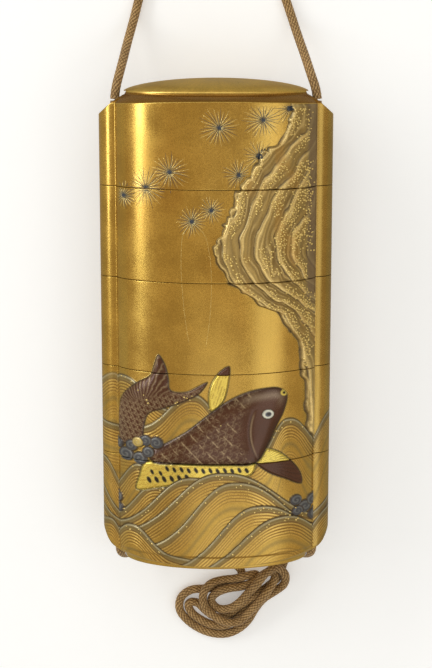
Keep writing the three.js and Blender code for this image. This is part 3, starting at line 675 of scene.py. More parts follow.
def lay_carp(sheet):
    body, tail = figure(CARP_BODY), figure(CARP_TAIL)
    belly, dorsal, breast = figure(CARP_BELLY), figure(DORSAL_FIN), figure(BREAST_FIN)
    grain = blotches(31, 0.8, 0.8, 2)
    turn = math.radians(27)
    along = X * math.cos(turn) + Y * math.sin(turn)
    across = -X * math.sin(turn) + Y * math.cos(turn)

    # fins of bright gold foil with dark rays, dark brown at their tips
    cover = soft(-0.05, 0.07, dorsal)
    dark_tip = soft(SEAMS[2] - 0.05, SEAMS[2] + 0.05, Y)
    rays = line_at(((X - 0.33 * Y) / 0.62 + 0.2 * grain) % 1, 0.5, 0.16) * soft(-0.5, 0.4, grain)
    sheet.lay(cover, BRIGHT_GOLD, metal=0.9, rough=0.3)
    sheet.lay(cover * 0.6 * rays, LINE_BROWN)
    sheet.lay(cover * dark_tip, CARP_BROWN, metal=0.2, rough=0.25)
    sheet.lay(0.9 * line_at(dorsal, 0.0, 0.13), CARP_DARK, metal=0.2)
    sheet.height = np.where(dorsal > 0, 0.5 * soft(0, 0.4, dorsal), sheet.height)

    root = np.arctan2(Y + 25.9, X - 7.6)
    rays = line_at((root * 9.5 + 0.15 * grain) % 1, 0.5, 0.14)
    cover = soft(-0.05, 0.07, breast)
    sheet.lay(cover, BRIGHT_GOLD, metal=0.9, rough=0.3)
    sheet.lay(cover * 0.8 * rays, DARK, metal=0.3)
    below = 1 - soft(SEAMS[3] - 0.05, SEAMS[3] + 0.05, Y)
    sheet.lay(cover * below, CARP_BROWN, metal=0.25, rough=0.3)
    sheet.lay(cover * below * 0.4 * rays, CARP_DARK)
    sheet.lay(0.9 * line_at(breast, 0.0, 0.13), CARP_DARK, metal=0.2)
    sheet.height = np.where(breast > 0, (0.5 - 0.05 * rays) * soft(0, 0.35, breast), sheet.height)

    # the belly, in foil with black dashes
    cover = soft(-0.05, 0.07, belly)
    sheet.lay(cover, BRIGHT_GOLD, metal=0.9, rough=0.28)
    sheet.lay(cover * 0.45 * line_at((across / 0.9 + 0.25 * np.sin(along * 1.4)) % 1, 0.5, 0.10), RED_GOLD)
    for x, y, size in BELLY_DASHES:
        u = (X - x) * math.cos(DASH_TURN) - (Y - y) * math.sin(DASH_TURN)
        v = (X - x) * math.sin(DASH_TURN) + (Y - y) * math.cos(DASH_TURN)
        dash = 1 - soft(0.75, 1.1, np.hypot(u / 0.44, v / 0.80) / size)
        sheet.lay(cover * dash, BLACK, metal=0.1, rough=0.25)
    sheet.lay(0.9 * line_at(belly, 0.0, 0.12), CARP_DARK, metal=0.2)
    sheet.height = np.where(belly > 0, 0.5 * soft(0, 0.5, belly), sheet.height)

    # the tail, with its scales below and rays in both lobes
    cover = soft(-0.05, 0.07, tail)
    sheet.lay(cover, CARP_BROWN, metal=0.25, rough=0.27)
    stem = 1 - soft(-14.5, -12.5, Y - 0.25 * (X + 15))
    net = scale_lines((X * 0.5 - Y) / 1.35, (X + 0.4 * Y) / 1.1)
    sheet.lay(cover * stem * 0.55 * net, SCALE_LINE, metal=0.3)
    fan = np.arctan2(Y + 15.5, X + 14.5)
    rays = line_at((fan * 6.5 + 0.2 * grain) % 1, 0.5, 0.13) * (1 - stem)
    sheet.lay(cover * 0.42 * rays, SCALE_LINE, metal=0.3)
    sheet.lay(0.9 * line_at(tail, 0.0, 0.14), CARP_DARK, metal=0.2)
    raised = 0.25 + 0.45 * (1 - np.exp(-np.maximum(tail, 0) / 0.9)) - 0.04 * rays + 0.02 * net * stem
    sheet.height = np.where(tail > 0, raised * soft(0, 0.15, tail), sheet.height)

    # the body: glossy brown, scaled behind the gill, smooth on the head, with painted shade towards its outline
    # and a painted highlight along the head's back
    cover = soft(-0.05, 0.07, body)
    gill = 6.4 + 0.055 * (Y + 19.5) ** 2 * 0.9
    scaled = 1 - soft(-2.6, -0.6, X - gill)
    sheet.lay(cover, CARP_BROWN, metal=0.22, rough=0.22)
    # painted shade: the body darkens within about 1.6 mm of its outline, as its rounded relief turns from the
    # light
    sheet.lay(cover * 0.5 * soft(1.6, 0.0, body), CARP_DARK)
    net = scale_lines(along / 1.55, across / 1.25)
    sheet.lay(cover * scaled * np.clip(0.24 + 0.25 * grain, 0, 1) * net, SCALE_LINE, metal=0.3)
    slant = line_at((along / 2.4 + 0.12 * across + 0.05 * grain) % 1, 0.5, 0.035) * soft(-0.3, 0.3, grain)
    sheet.lay(cover * scaled * 0.7 * slant, SCALE_LINE, metal=0.3)
    # painted highlight: a pale band along the head's back, where the raised head catches the light
    back = line_at(body, 1.5, 0.75) * soft(3.0, 7.5, X) * soft(-17.0, -13.0, Y - 0.1 * X)
    sheet.lay(cover * 0.42 * back, linear(176, 158, 132), rough=0.16)
    cheek = cover * soft(-25.5, -23.0, Y) * (1 - soft(-17, -15, Y))
    sheet.lay(cheek * 0.5 * line_at(X - gill, 0, 0.14), CARP_DARK)
    sheet.lay(cheek * 0.35 * line_at(X - gill, 0.35, 0.15), SCALE_LINE)
    sheet.lay(0.92 * line_at(body, 0.0, 0.15), CARP_DARK, metal=0.2)
    raised = 0.22 + 0.55 * (1 - np.exp(-np.maximum(body, 0) / 1.5)) + 0.02 * net * scaled
    raised = raised - 0.05 * line_at(X - gill, 0.1, 0.35) * (Y > -25.5) * (Y < -15)
    sheet.height = np.where(body > 0, raised * soft(0, 0.15, body), sheet.height)

    # the mouth, and the eye with its pearl ring
    mouth = np.hypot((X - 13.4) / 0.75, (Y + 12.0) / 0.6)
    sheet.lay((1 - soft(0.85, 1.1, mouth)) * soft(-0.1, 0.0, body), BRIGHT_GOLD, metal=0.7)
    sheet.lay((1 - soft(0.35, 0.6, mouth)) * soft(-0.1, 0.0, body), CARP_DARK, metal=0.1)
    eye = np.hypot((X - EYE["x"]) / EYE["a"], (Y - EYE["y"]) / EYE["b"])
    sheet.lay(1 - soft(0.98, 1.1, eye), PEARL, metal=0.25, rough=0.2)
    sheet.lay(line_at(eye, 1.06, 0.07), CARP_DARK, metal=0.1)
    sheet.lay(1 - soft(0.52, 0.64, eye), BLUE_GREY, metal=0.3, rough=0.15)
    pupil = np.hypot((X - 10.2) / EYE["a"], (Y + 15.95) / EYE["b"])
    sheet.lay(1 - soft(0.28, 0.42, pupil), BLACK, metal=0.1, rough=0.1)
    dome = 0.80 + 0.12 * np.sqrt(np.maximum(0, 1 - eye ** 2)) + 0.05 * line_at(eye, 0.8, 0.15)
    sheet.height = np.where(eye < 1.05, dome, sheet.height)


def lay_foam(sheet):
    for i, (x, y, r) in enumerate(FOAM_CURLS):
        away = np.hypot(X - x, (Y - y) * 1.08)
        swirl = (away / r * 1.7 + np.arctan2(Y - y, (X - x) * (-1) ** i) / (2 * math.pi)) % 1
        cover = 1 - soft(r - 0.06, r + 0.06, away)
        gilt = i == 7
        sheet.lay(cover, PALE_GOLD if gilt else BLUE_GREY, metal=0.5, rough=0.35)
        sheet.lay(cover * 0.45 * line_at(swirl, 0.4, 0.16), PALE_GREY, metal=0.5)
        sheet.lay(cover * 0.4 * line_at(swirl, 0.85, 0.12), DARK)
        sheet.lay(0.9 * line_at(away, r, 0.12), DARK, metal=0.2)
        knob = 0.52 + 0.16 * np.sqrt(np.maximum(0, 1 - (away / r) ** 2)) + 0.03 * line_at(swirl, 0.4, 0.2)
        sheet.height = np.where(away < r, knob, sheet.height)


def lay_picture():
    """The whole picture, and the water alone, which runs on round the runners."""
    sheet, water = Sheet(), Sheet()
    ripple = blotches(13, 3.0, 3.0, 2)
    lay_ground(sheet)
    water.tint += sheet.tint
    for i, wave in enumerate(WAVES[:2]):
        lay_wave(sheet, wave, i, ripple)
    lay_trunk(sheet)
    for i, wave in enumerate(WAVES[2:5], start=2):
        lay_wave(sheet, wave, i, ripple)
    lay_carp(sheet)
    for i, wave in enumerate(WAVES[5:], start=5):
        lay_wave(sheet, wave, i, ripple)
    lay_foam(sheet)
    for i, wave in enumerate(WAVES):
        lay_wave(water, wave, i, ripple)
    # the raised figures fade out into the creases and the ends
    border = np.minimum(np.minimum(19.75 - np.abs(X), Y - (WALL_BOTTOM + 1.9)), WALL_TOP - 0.7 - Y)
    sheet.height *= soft(0.0, 0.5, border)
    return sheet, water


PICTURE, WATER = lay_picture()
# END OF PICTURE

# ---------------------------------------------------------------- the section and its sheet

FRONT_STEP, RUNNER_STEP, SIDE_STEP, BACK_STEP = 0.15, 0.2, 0.4, 0.75


def section_columns():
    """The places round the case where the sheet's columns run, from the middle of the back.

    Gives each one's X and Z about the middle, its outward direction, and the angle that stands for
    it on a plain oval.
    """
    oval_from = math.acos(CREASE_X / OVAL_A)
    runner_to = math.atan2(CREASE_Z, CREASE_X - RUNNER_X)

    def oval_arc(start, end, step):
        fine = np.linspace(start, end, 2000)
        px, pz = OVAL_A * np.cos(fine), OVAL_B * np.sin(fine)
        along = np.concatenate([[0], np.cumsum(np.hypot(np.diff(px), np.diff(pz)))])
        count = max(2, int(round(along[-1] / step)))
        turn = np.interp(np.linspace(0, along[-1], count + 1), along, fine)
        x, z = OVAL_A * np.cos(turn), OVAL_B * np.sin(turn)
        nx, nz = np.cos(turn) / OVAL_A, np.sin(turn) / OVAL_B
        size = np.hypot(nx, nz)
        return np.column_stack([x, z, nx / size, nz / size, turn])

    def runner_arc(side, start, end, step):
        count = max(2, int(round(abs(end - start) * RUNNER_RADIUS / step)))
        share = np.linspace(start, end, count + 1) / runner_to
        turn = share * runner_to
        x = side * (RUNNER_X + RUNNER_RADIUS * np.cos(turn))
        z = RUNNER_RADIUS * np.sin(turn)
        angle = share * oval_from if side > 0 else math.pi - share * oval_from
        return np.column_stack([x, z, side * np.cos(turn), np.sin(turn), angle])

    half = math.pi / 2
    parts = [
        oval_arc(-half, -oval_from, BACK_STEP),
        runner_arc(1, -runner_to, -0.3, SIDE_STEP),
        runner_arc(1, -0.3, runner_to, RUNNER_STEP),
        oval_arc(oval_from, math.pi - oval_from, FRONT_STEP),
        runner_arc(-1, runner_to, -0.3, RUNNER_STEP),
        runner_arc(-1, -0.3, -runner_to, SIDE_STEP),
        oval_arc(math.pi + oval_from, 3 * half, BACK_STEP),
    ]
    rows = [part[:-1] for part in parts[:-1]] + [parts[-1]]
    return np.vstack(rows)


COLUMNS = section_columns()
COL_X, COL_Z, OUT_X, OUT_Z, COL_ANGLE = COLUMNS.T
ON_FRONT = (COL_Z > 0) & (np.abs(COL_X) <= CREASE_X + 1e-6)


def wall_points(y, inset=0.0, raised=0.0):
    """Points of the outer surface at a height along Y, which may differ from column to column."""
    x = COL_X + OUT_X * (raised - inset)
    z = np.maximum(COL_Z + OUT_Z * (raised - inset), -MID_Z + inset) + MID_Z
    return np.column_stack([x, np.broadcast_to(y, x.shape), z])


def dome_points(dome, share, y):
    x = dome["a"] * share * np.cos(COL_ANGLE)
    z = MID_Z + dome["b"] * share * np.sin(COL_ANGLE)
    return np.column_stack([x, np.full(x.shape, y), z])


def cut_oval_points(oval, y, share=1.0):
    """Points of an oval cut off straight at both ends, or of a smaller one about its middle."""
    x = np.clip(oval["a"] * np.cos(COL_ANGLE), -oval["end"], oval["end"]) * share
    z = MID_Z + oval["b"] * np.sin(COL_ANGLE) * share
    return np.column_stack([x, np.full(x.shape, y), z])


EDGE_ROUND = 0.06                      # radius of the walls' edges at the seams
RIM_ROUND = 0.10                       # and at the shoulders of the lid and the bottom case
ROW_STEP = 0.15


def seam_edge(y, sign):
    """The rounded edge of a wall at a seam: rows from the wall's face to its end face."""
    rows = []
    for turn in (20, 45, 70, 90):
        a = math.radians(turn)
        inset = EDGE_ROUND * (1 - math.cos(a))
        height = y - sign * EDGE_ROUND * (1 - math.sin(a))
        rows.append(wall_points(height, inset))
    return rows


def face_rows(low, high):
    """Rows of a wall's outer face between two edges, raised where the picture is."""
    longest = float(np.max(high - low))
    count = int(round(longest / ROW_STEP))
    rows = []
    for share in np.linspace(0, 1, count + 1):
        y = low + (high - low) * share
        raised = np.where(ON_FRONT, look_up(PICTURE.height, COL_X, y), 0.0)
        rows.append(wall_points(y, 0.0, raised))
    return rows


def socket_rows(low):
    """From the middle of the floor's underside, down the socket and out to the wall's lower end."""
    deep = low + SOCKET_DEPTH
    return ([cut_oval_points(SOCKET, deep, share) for share in (0.0, 0.5, 0.97)]
            + [cut_oval_points(SOCKET, y) for y in (deep - 0.1, low + 1.5, low + 0.15)]
            + [cut_oval_points(SOCKET, low, 1.006)])


def riser_rows(high, floor):
    """From the wall's upper end, over the riser and down the compartment to its floor's middle."""
    top = high + RISER_HEIGHT
    return ([cut_oval_points(RISER, high, 1.005), cut_oval_points(RISER, high + 0.15)]
            + [cut_oval_points(RISER, y) for y in (high + 1.8, top - 0.2)]
            + [cut_oval_points(RISER, top - 0.05, 0.992), cut_oval_points(RISER, top, 0.985)]
            + [cut_oval_points(INSIDE, top, 1.012), cut_oval_points(INSIDE, top - 0.2)]
            + [cut_oval_points(INSIDE, floor + (top - floor) * share) for share in (0.6, 0.2)]
            + [cut_oval_points(INSIDE, floor + 0.7), cut_oval_points(INSIDE, floor + 0.2, 0.985),
               cut_oval_points(INSIDE, floor, 0.95)]
            + [cut_oval_points(INSIDE, floor, share) for share in (0.5, 0.0)])


def end_rows(edge, dome, foot, sign):
    """From a wall's edge over the shoulder and the dome to its crown."""
    rim = wall_points(edge)
    foot_row = dome_points(dome, 1, foot)
    rows = []
    for turn in (25, 50, 75):          # the edge itself is slightly rounded
        a = math.radians(turn)
        height = edge + sign * RIM_ROUND * (math.sin(a) - 1)
        rows.append(wall_points(height, RIM_ROUND * (1 - math.cos(a))))
    start = rim + 0.12 * (foot_row - rim) / np.linalg.norm(foot_row - rim, axis=1)[:, None]
    for share in np.linspace(0, 1, 9):
        row = start + (foot_row - start) * share
        row[:, 1] += sign * SHOULDER_FULLNESS * 4 * share * (1 - share)
        rows.append(row)
    for share in [1.0 - 0.015 * s for s in (0.25, 0.5, 0.75, 1.0)]:
        rise = dome["step"] * math.sin((1 - share) / 0.015 * math.pi / 2) \
            + dome["rise"] * (1 - share ** 2) ** DOME_POWER
        rows.append(dome_points(dome, share, foot + sign * rise))
    for share in np.cos(np.linspace(math.acos(0.985), math.pi / 2, 34))[1:-1]:
        rise = dome["step"] + dome["rise"] * (1 - share ** 2) ** DOME_POWER
        rows.append(dome_points(dome, share, foot + sign * rise))
    rows.append(dome_points(dome, 0.0, foot + sign * (dome["step"] + dome["rise"])))
    return rows


# What a part of the sheet is, for its finish.
FACE, INNER, END, SHOULDER = 0, 1, 2, 3


def rolled_sheet(name, rows, kinds):
    """One closed skin from rows of points round the case, its first and last drawn to a point."""
    bpy.ops.object.select_all(action="DESELECT")
    bpy.ops.mesh.primitive_grid_add(x_subdivisions=len(COL_X) - 1, y_subdivisions=len(rows) - 1, size=1)
    box = bpy.context.object
    box.name = box.data.name = name
    box.data.vertices.foreach_set("co", (np.array(rows) * MM).ravel())
    paint_sheet(box.data, np.array(rows), np.array(kinds))
    pick(box)
    bpy.ops.object.mode_set(mode="EDIT")
    bpy.ops.mesh.select_all(action="SELECT")
    bpy.ops.mesh.remove_doubles(threshold=2e-7)
    bpy.ops.mesh.normals_make_consistent(inside=False)
    bpy.ops.object.mode_set(mode="OBJECT")
    return box


def paint_sheet(data, points, kinds):
    """Carry the picture's finish over to a box: colour, metal, roughness."""
    y = points[..., 1]
    x = np.broadcast_to(COL_X, y.shape)
    front = np.broadcast_to(ON_FRONT, y.shape) & (kinds[:, None] == FACE)
    face = (kinds == FACE)[:, None]
    grain = look_up(blotches(41, 0.7, 9.0, 2), x, y)
    plain = np.array(GOLD)[None, None] * (1 + 0.06 * grain[..., None])
    past = np.maximum(0, np.abs(x) - CREASE_X)
    seen = np.sign(x) * np.where(past > 0, 19.7 - 1.3 * past, np.abs(x))
    water = (kinds == FACE)[:, None] & (past > 0) & (points[..., 2] > MID_Z - 2.0)
    share = np.where(front, 1.0, water * soft(-7.0, -11.0, y))[..., None]
    drawn = np.where(front[..., None], look_up(PICTURE.tint, seen, y), look_up(WATER.tint, seen, y))
    tint = plain + share * (drawn - plain)
    drawn = np.where(front, look_up(PICTURE.metal, seen, y), look_up(WATER.metal, seen, y))
    metal = 1 + share[..., 0] * (drawn - 1)
    rough = 0.25 + share[..., 0] * (look_up(PICTURE.rough, seen, y) - 0.25)
    # the right runner carries the tree's edge on as dark and light bands, the left one the waves'
    band = face & (np.abs(x) > CREASE_X) & (points[..., 2] > MID_Z - 1.0)
    stripe = np.where(x > 0, soft(-0.3, 0.5, look_up(blotches(42, 0.35, 60.0), x, y * 0.2)), 0.0)
    stripe = stripe * soft(-9.0, -6.0, y)
    tint = np.where(band[..., None], tint + 0.75 * stripe[..., None] * (np.array(OLIVE) - tint), tint)
    # painted shade: the right runner's face, turned from the main light, is made darker and cooler
    right_runner_painted_shade = (x > CREASE_X) & face & (points[..., 2] > MID_Z - 1.0)
    tint = np.where(right_runner_painted_shade[..., None], tint * np.array([0.90, 0.93, 1.05]), tint)
    ends = (kinds == END)[:, None, None]
    tint = np.where(ends, np.array(PALE_GOLD) * (1 + 0.05 * grain[..., None]), tint)
    rough = np.where(ends[..., 0], 0.34, rough)
    # painted shade: the lid's shoulder ring is darkened to stand for the dark surroundings it mirrors
    shoulder = (kinds == SHOULDER)[:, None, None]
    tint = np.where(shoulder, np.array(RED_GOLD) * 0.62, tint)
    inner = (kinds == INNER)[:, None, None]
    tint = np.where(inner, np.array(linear(92, 52, 20)), tint)
    metal = np.where(inner[..., 0], 0.35, metal)
    rough = np.where(inner[..., 0], 0.28, rough)
    colour = np.concatenate([tint, np.ones(tint.shape[:2] + (1,))], axis=2)
    data.attributes.new("tint", "FLOAT_COLOR", "POINT").data.foreach_set("color", colour.ravel())
    for label, field in (("metal", metal), ("rough", rough)):
        data.attributes.new(label, "FLOAT", "POINT").data.foreach_set(
            "value", np.ascontiguousarray(field, dtype=np.float32).ravel())


def cut_bores(box, low, high, mouth=None):
    """Cut both bores for the cord, and open their mouths at one end."""
    for side in (-1, 1):
        pieces = [(BORE_RADIUS, BORE_RADIUS, low, high)]
        if mouth:
            y, sign = mouth
            reach = BORE_RADIUS + (FLARE_RADIUS - BORE_RADIUS) * (2 + FLARE_DEPTH) / FLARE_DEPTH
            near, far = y - sign * FLARE_DEPTH, y + sign * 2
            pieces.append((BORE_RADIUS, reach, near, far) if sign > 0 else (reach, BORE_RADIUS, far, near))
        for radius_low, radius_high, start, end in pieces:
            bpy.ops.object.select_all(action="DESELECT")
            bpy.ops.mesh.primitive_cone_add(
                vertices=40, radius1=radius_low * MM, radius2=radius_high * MM, depth=(end - start) * MM,
                location=(side * BORE_X * MM, (start + end) / 2 * MM, MID_Z * MM),
                rotation=(-math.pi / 2, 0, 0))
            cutter = bpy.context.object
            pick(box)
            cut = box.modifiers.new("bore", "BOOLEAN")
            cut.operation, cut.object, cut.solver = "DIFFERENCE", cutter, "MANIFOLD"
            bpy.ops.object.modifier_apply(modifier=cut.name)
            bpy.data.objects.remove(cutter)


def lacquer_material():
    """Gold powder under clear lacquer: the picture's colours, a fine sparkle, faint wear."""
    made = bpy.data.materials.new("gold_powder_lacquer")
    made.use_nodes = True
    add, join = node_maker(made)
    tint = add("ShaderNodeAttribute", attribute_name="tint")
    metal = add("ShaderNodeAttribute", attribute_name="metal")
    rough = add("ShaderNodeAttribute", attribute_name="rough")
    where = add("ShaderNodeTexCoord")

    def spread(source, out, low, high, into_low, into_high):
        node = add("ShaderNodeMapRange")
        keys = ("From Min", "From Max", "To Min", "To Max")
        for key, value in zip(keys, (low, high, into_low, into_high)):
            node.inputs[key].default_value = value
        join(source, out, node, "Value")
        return node

    def maths(operation, a, a_out, b, b_out=None):
        node = add("ShaderNodeMath", operation=operation)
        join(a, a_out, node, 0)
        if b_out:
            join(b, b_out, node, 1)
        else:
            node.inputs[1].default_value = b
        return node

    grains = add("ShaderNodeTexNoise", Scale=4200.0, Detail=2.0, Roughness=0.6)
    join(where, "Object", grains, "Vector")
    clouds = add("ShaderNodeTexNoise", Scale=190.0, Detail=4.0, Roughness=0.55)
    join(where, "Object", clouds, "Vector")
    stretch = add("ShaderNodeMapping")
    stretch.inputs["Scale"].default_value = (5200, 90, 5200)
    join(where, "Object", stretch, "Vector")
    scratches = add("ShaderNodeTexNoise", Scale=1.0, Detail=2.0)
    join(stretch, "Vector", scratches, "Vector")

    speckle = spread(grains, "Fac", 0.3, 0.7, 0.86, 1.14)
    cloudy = spread(clouds, "Fac", 0.3, 0.7, 0.90, 1.08)
    both = maths("MULTIPLY", speckle, "Result", cloudy, "Result")
    colour = add("ShaderNodeVectorMath", operation="SCALE")
    join(tint, "Color", colour, 0)
    join(both, "Value", colour, "Scale")

    worn = spread(clouds, "Fac", 0.25, 0.75, -0.05, 0.06)
    grainy = spread(grains, "Fac", 0.3, 0.7, -0.04, 0.05)
    lines = spread(scratches, "Fac", 0.60, 0.80, 0.0, 0.10)
    total = maths("ADD", worn, "Result", grainy, "Result")
    total = maths("ADD", total, "Value", lines, "Result")
    total = maths("ADD", total, "Value", rough, "Fac")

    height = maths("MULTIPLY", grains, "Fac", 0.5)
    height = maths("ADD", height, "Value", maths("MULTIPLY", scratches, "Fac", 0.45), "Value")
    bump = add("ShaderNodeBump", Strength=0.22, Distance=0.00003)
    join(height, "Value", bump, "Height")

    shader = add("ShaderNodeBsdfPrincipled")
    shader.inputs["Coat Weight"].default_value = 0.12
    shader.inputs["Coat Roughness"].default_value = 0.12
    shader.inputs["IOR"].default_value = 1.55
    join(colour, "Vector", shader, "Base Color")
    join(metal, "Fac", shader, "Metallic")
    join(total, "Value", shader, "Roughness")
    join(bump, "Normal", shader, "Normal")
    finish_material(add, join, shader)
    return made


LACQUER = lacquer_material()


def finish_box(box, node):
    box.data.materials.clear()
    box.data.materials.append(LACQUER)
    pick(box)
    bpy.ops.object.shade_smooth()
    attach(box, "root")
    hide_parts(node)


def make_lid():
    low = SEAMS[0] + SEAM_GAP / 2
    deep = LID_FOOT + LID_DOME["step"] - CEILING
    inner = ([cut_oval_points(SOCKET, deep, share) for share in (0.0, 0.5, 0.93)]
             + [cut_oval_points(SOCKET, deep - 0.25, 0.985)]
             + [cut_oval_points(SOCKET, low + (deep - low) * share) for share in (0.93, 0.5, 0.1)]
             + [cut_oval_points(SOCKET, low, 1.006)])
    edge = top_edge(COL_X)
    lower = seam_edge(low, -1)[::-1]
    face = face_rows(np.full(COL_X.shape, low + EDGE_ROUND), edge - 0.10)
    end = end_rows(edge, LID_DOME, LID_FOOT, 1)
    rows = inner + lower + face + end
    kinds = ([INNER] * len(inner) + [FACE] * (len(lower) + len(face)) + [END] * 3 + [SHOULDER] * 10
             + [END] * (len(end) - 13))
    box = rolled_sheet("lid_box", rows, kinds)
    cut_bores(box, low - 1, TOP, (float(top_edge(BORE_X)) + 0.3, 1))
    finish_box(box, "lid")


def make_tier(index):
    low = SEAMS[index + 1] + SEAM_GAP / 2
    high = SEAMS[index] - SEAM_GAP / 2
    floor = low + SOCKET_DEPTH + FLOOR
    inner = socket_rows(low)
    lower = seam_edge(low, -1)[::-1]
    face = face_rows(np.full(COL_X.shape, low + EDGE_ROUND), np.full(COL_X.shape, high - EDGE_ROUND))
    upper = seam_edge(high, 1)
    riser = riser_rows(high, floor)
    rows = inner + lower + face + upper + riser
    kinds = ([INNER] * len(inner) + [FACE] * (len(lower) + len(face) + len(upper)) + [INNER] * len(riser))
    box = rolled_sheet(f"case_{index + 1}_box", rows, kinds)
    cut_bores(box, low - 1, high + 1)
    finish_box(box, f"case_{index + 1}")


def make_bottom():
    high = SEAMS[3] - SEAM_GAP / 2
    floor = BASE_FOOT + FLOOR + 0.6
    edge = bottom_edge(COL_X)
    end = end_rows(edge, BASE_DOME, BASE_FOOT, -1)[::-1]
    face = face_rows(edge + 0.10, np.full(COL_X.shape, high - EDGE_ROUND))
    upper = seam_edge(high, 1)
    riser = riser_rows(high, floor)
    rows = end + face + upper + riser
    kinds = [END] * len(end) + [FACE] * (len(face) + len(upper)) + [INNER] * len(riser)
    box = rolled_sheet("bottom_case_box", rows, kinds)
    cut_bores(box, -TOP, high + 1, (float(bottom_edge(BORE_X)) - 0.3, -1))
    finish_box(box, "case_bottom")


make_lid()
for tier in range(3):
    make_tier(tier)
make_bottom()

# ---------------------------------------------------------------- needles, threads and gold drops

BOX_SPANS = [(SEAMS[0] + 0.2, WALL_TOP - 0.9)] + \
    [(SEAMS[i + 1] + 0.2, SEAMS[i] - 0.2) for i in range(3)] + [(WALL_BOTTOM + 2.0, SEAMS[3] - 0.2)]


def on_front(x, y, lift):
    """A place on the pictured front at x and y, lifted off its raised surface."""
    x = np.clip(x, -19.7, 19.7)
    turn = np.arccos(x / OVAL_A)
    nx, nz = np.cos(turn) / OVAL_A, np.sin(turn) / OVAL_B
    size = np.hypot(nx, nz)
    out = look_up(PICTURE.height, x, y) + lift
    return np.stack([x + nx / size * out, y, MID_Z + OVAL_B * np.sin(turn) + nz / size * out], axis=-1)


def joined(name, places, faces, material, slot):
    """One piece from many small shapes: their corners, and the faces that each has alike."""
    count, corners = places.shape[:2]
    data = bpy.data.meshes.new(name)
    every = (faces[None] + corners * np.arange(count)[:, None, None]).reshape(-1, faces.shape[1])
    data.from_pydata((places.reshape(-1, 3) * MM).tolist(), [], every.tolist())
    made = bpy.data.objects.new(name, data)
    bpy.context.collection.objects.link(made)
    data.materials.append(material)
    pick(made)
    bpy.ops.object.mode_set(mode="EDIT")
    bpy.ops.mesh.select_all(action="SELECT")
    bpy.ops.mesh.normals_make_consistent(inside=False)
    bpy.ops.object.mode_set(mode="OBJECT")
    bpy.ops.object.shade_smooth()
    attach(made, "root")
    return made


def strokes(lines, widths, lift=0.035):
    """Thin raised strokes on the front, each along its own short line of five places."""
    lines, widths = np.array(lines), np.array(widths)
    ahead = np.gradient(lines, axis=1)
    ahead /= np.linalg.norm(ahead, axis=2)[..., None] + 1e-9
    side = np.stack([-ahead[..., 1], ahead[..., 0]], axis=-1) * widths[..., None] / 2
    left, right = lines + side, lines - side
    low_left = on_front(left[..., 0], left[..., 1], -0.03)
    low_right = on_front(right[..., 0], right[..., 1], -0.03)
    crest = on_front(lines[..., 0], lines[..., 1], lift)
    places = np.stack([low_left, low_right, crest], axis=2).reshape(len(lines), -1, 3)
    faces = []
    steps = lines.shape[1]
    for k in range(steps - 1):
        a, b = 3 * k, 3 * (k + 1)
        for u, v in ((0, 1), (1, 2), (2, 0)):
            faces += [(a + u, a + v, b + v), (a + u, b + v, b + u)]
    faces += [(0, 1, 2), (3 * steps - 3, 3 * steps - 1, 3 * steps - 2)]
    return places, np.array(faces)


def trimmed(start, end, least=0.35):
    """The parts of a straight stroke that lie on one box each, clear of the seams."""
    for low, high in BOX_SPANS:
        dy = end[1] - start[1]
        t0, t1 = 0.0, 1.0
        if abs(dy) < 1e-6:
            if not low < start[1] < high:
                continue
        else:
            a, b = sorted(((low - start[1]) / dy, (high - start[1]) / dy))
            t0, t1 = max(t0, a), min(t1, b)
        if t1 > t0 and (t1 - t0) * np.linalg.norm(end - start) > least:
            yield start + (end - start) * t0, start + (end - start) * t1


NEEDLE_END = 19.3                      # needles stop just short of the creases


def add_needles():
    rng = np.random.default_rng(51)
    blue, gold, blue_wide, gold_wide = [], [], [], []
    for x, y, reach, strength in NEEDLE_TUFTS:
        centre = np.array([x, y])
        count = int(34 + 14 * strength)
        for i in range(count):
            turn = 2 * math.pi * (i + rng.uniform(-0.3, 0.3)) / count
            far = reach * rng.uniform(0.78, 1.16)
            start = centre + 0.35 * np.array([math.cos(turn), math.sin(turn)])
            end = centre + far * np.array([math.cos(turn), math.sin(turn)])
            if abs(end[0]) > NEEDLE_END or look_up(PICTURE.trunk, end[0], end[1]) > -0.2:
                reach_in = np.linspace(0, 1, 12)[:, None]
                path = start + (end - start) * reach_in
                clear = ((look_up(PICTURE.trunk, path[:, 0], path[:, 1]) < -0.25)
                         & (np.abs(path[:, 0]) < NEEDLE_END))
                stop = 12 if clear.all() else int(np.argmin(clear))
                if stop < 4:
                    continue
                end = path[stop - 1]
            bow = rng.uniform(-0.12, 0.12)
            is_blue = i % 2 == 0
            for a, b in trimmed(start, end):
                line = a + (b - a) * np.linspace(0, 1, 5)[:, None]
                square = np.array([-(b - a)[1], (b - a)[0]])
                line = line + square * bow * np.sin(np.linspace(0, math.pi, 5))[:, None] * 0.4
                wide = np.array([0.13, 0.17, 0.16, 0.12, 0.05]) * (0.8 + 0.5 * strength)
                (blue if is_blue else gold).append(line)
                (blue_wide if is_blue else gold_wide).append(wide)
        for k in range(7):             # the dark bud in the middle, as a few short thick strokes
            turn = k * math.pi / 7
            arm = 0.62 * np.array([math.cos(turn), math.sin(turn)])
            for a, b in trimmed(centre - arm, centre + arm, 0.2):
                blue.append(a + (b - a) * np.linspace(0, 1, 5)[:, None])
                blue_wide.append(np.array([0.20, 0.46, 0.55, 0.46, 0.20]) * (0.75 + 0.3 * strength))
    joined("pine_needles_blue_grey", *strokes(blue, blue_wide), NEEDLE_BLUE, "blue_grey_lacquer")
    joined("pine_needles_gold", *strokes(gold, gold_wide), DROP_GOLD, "gold_foil")


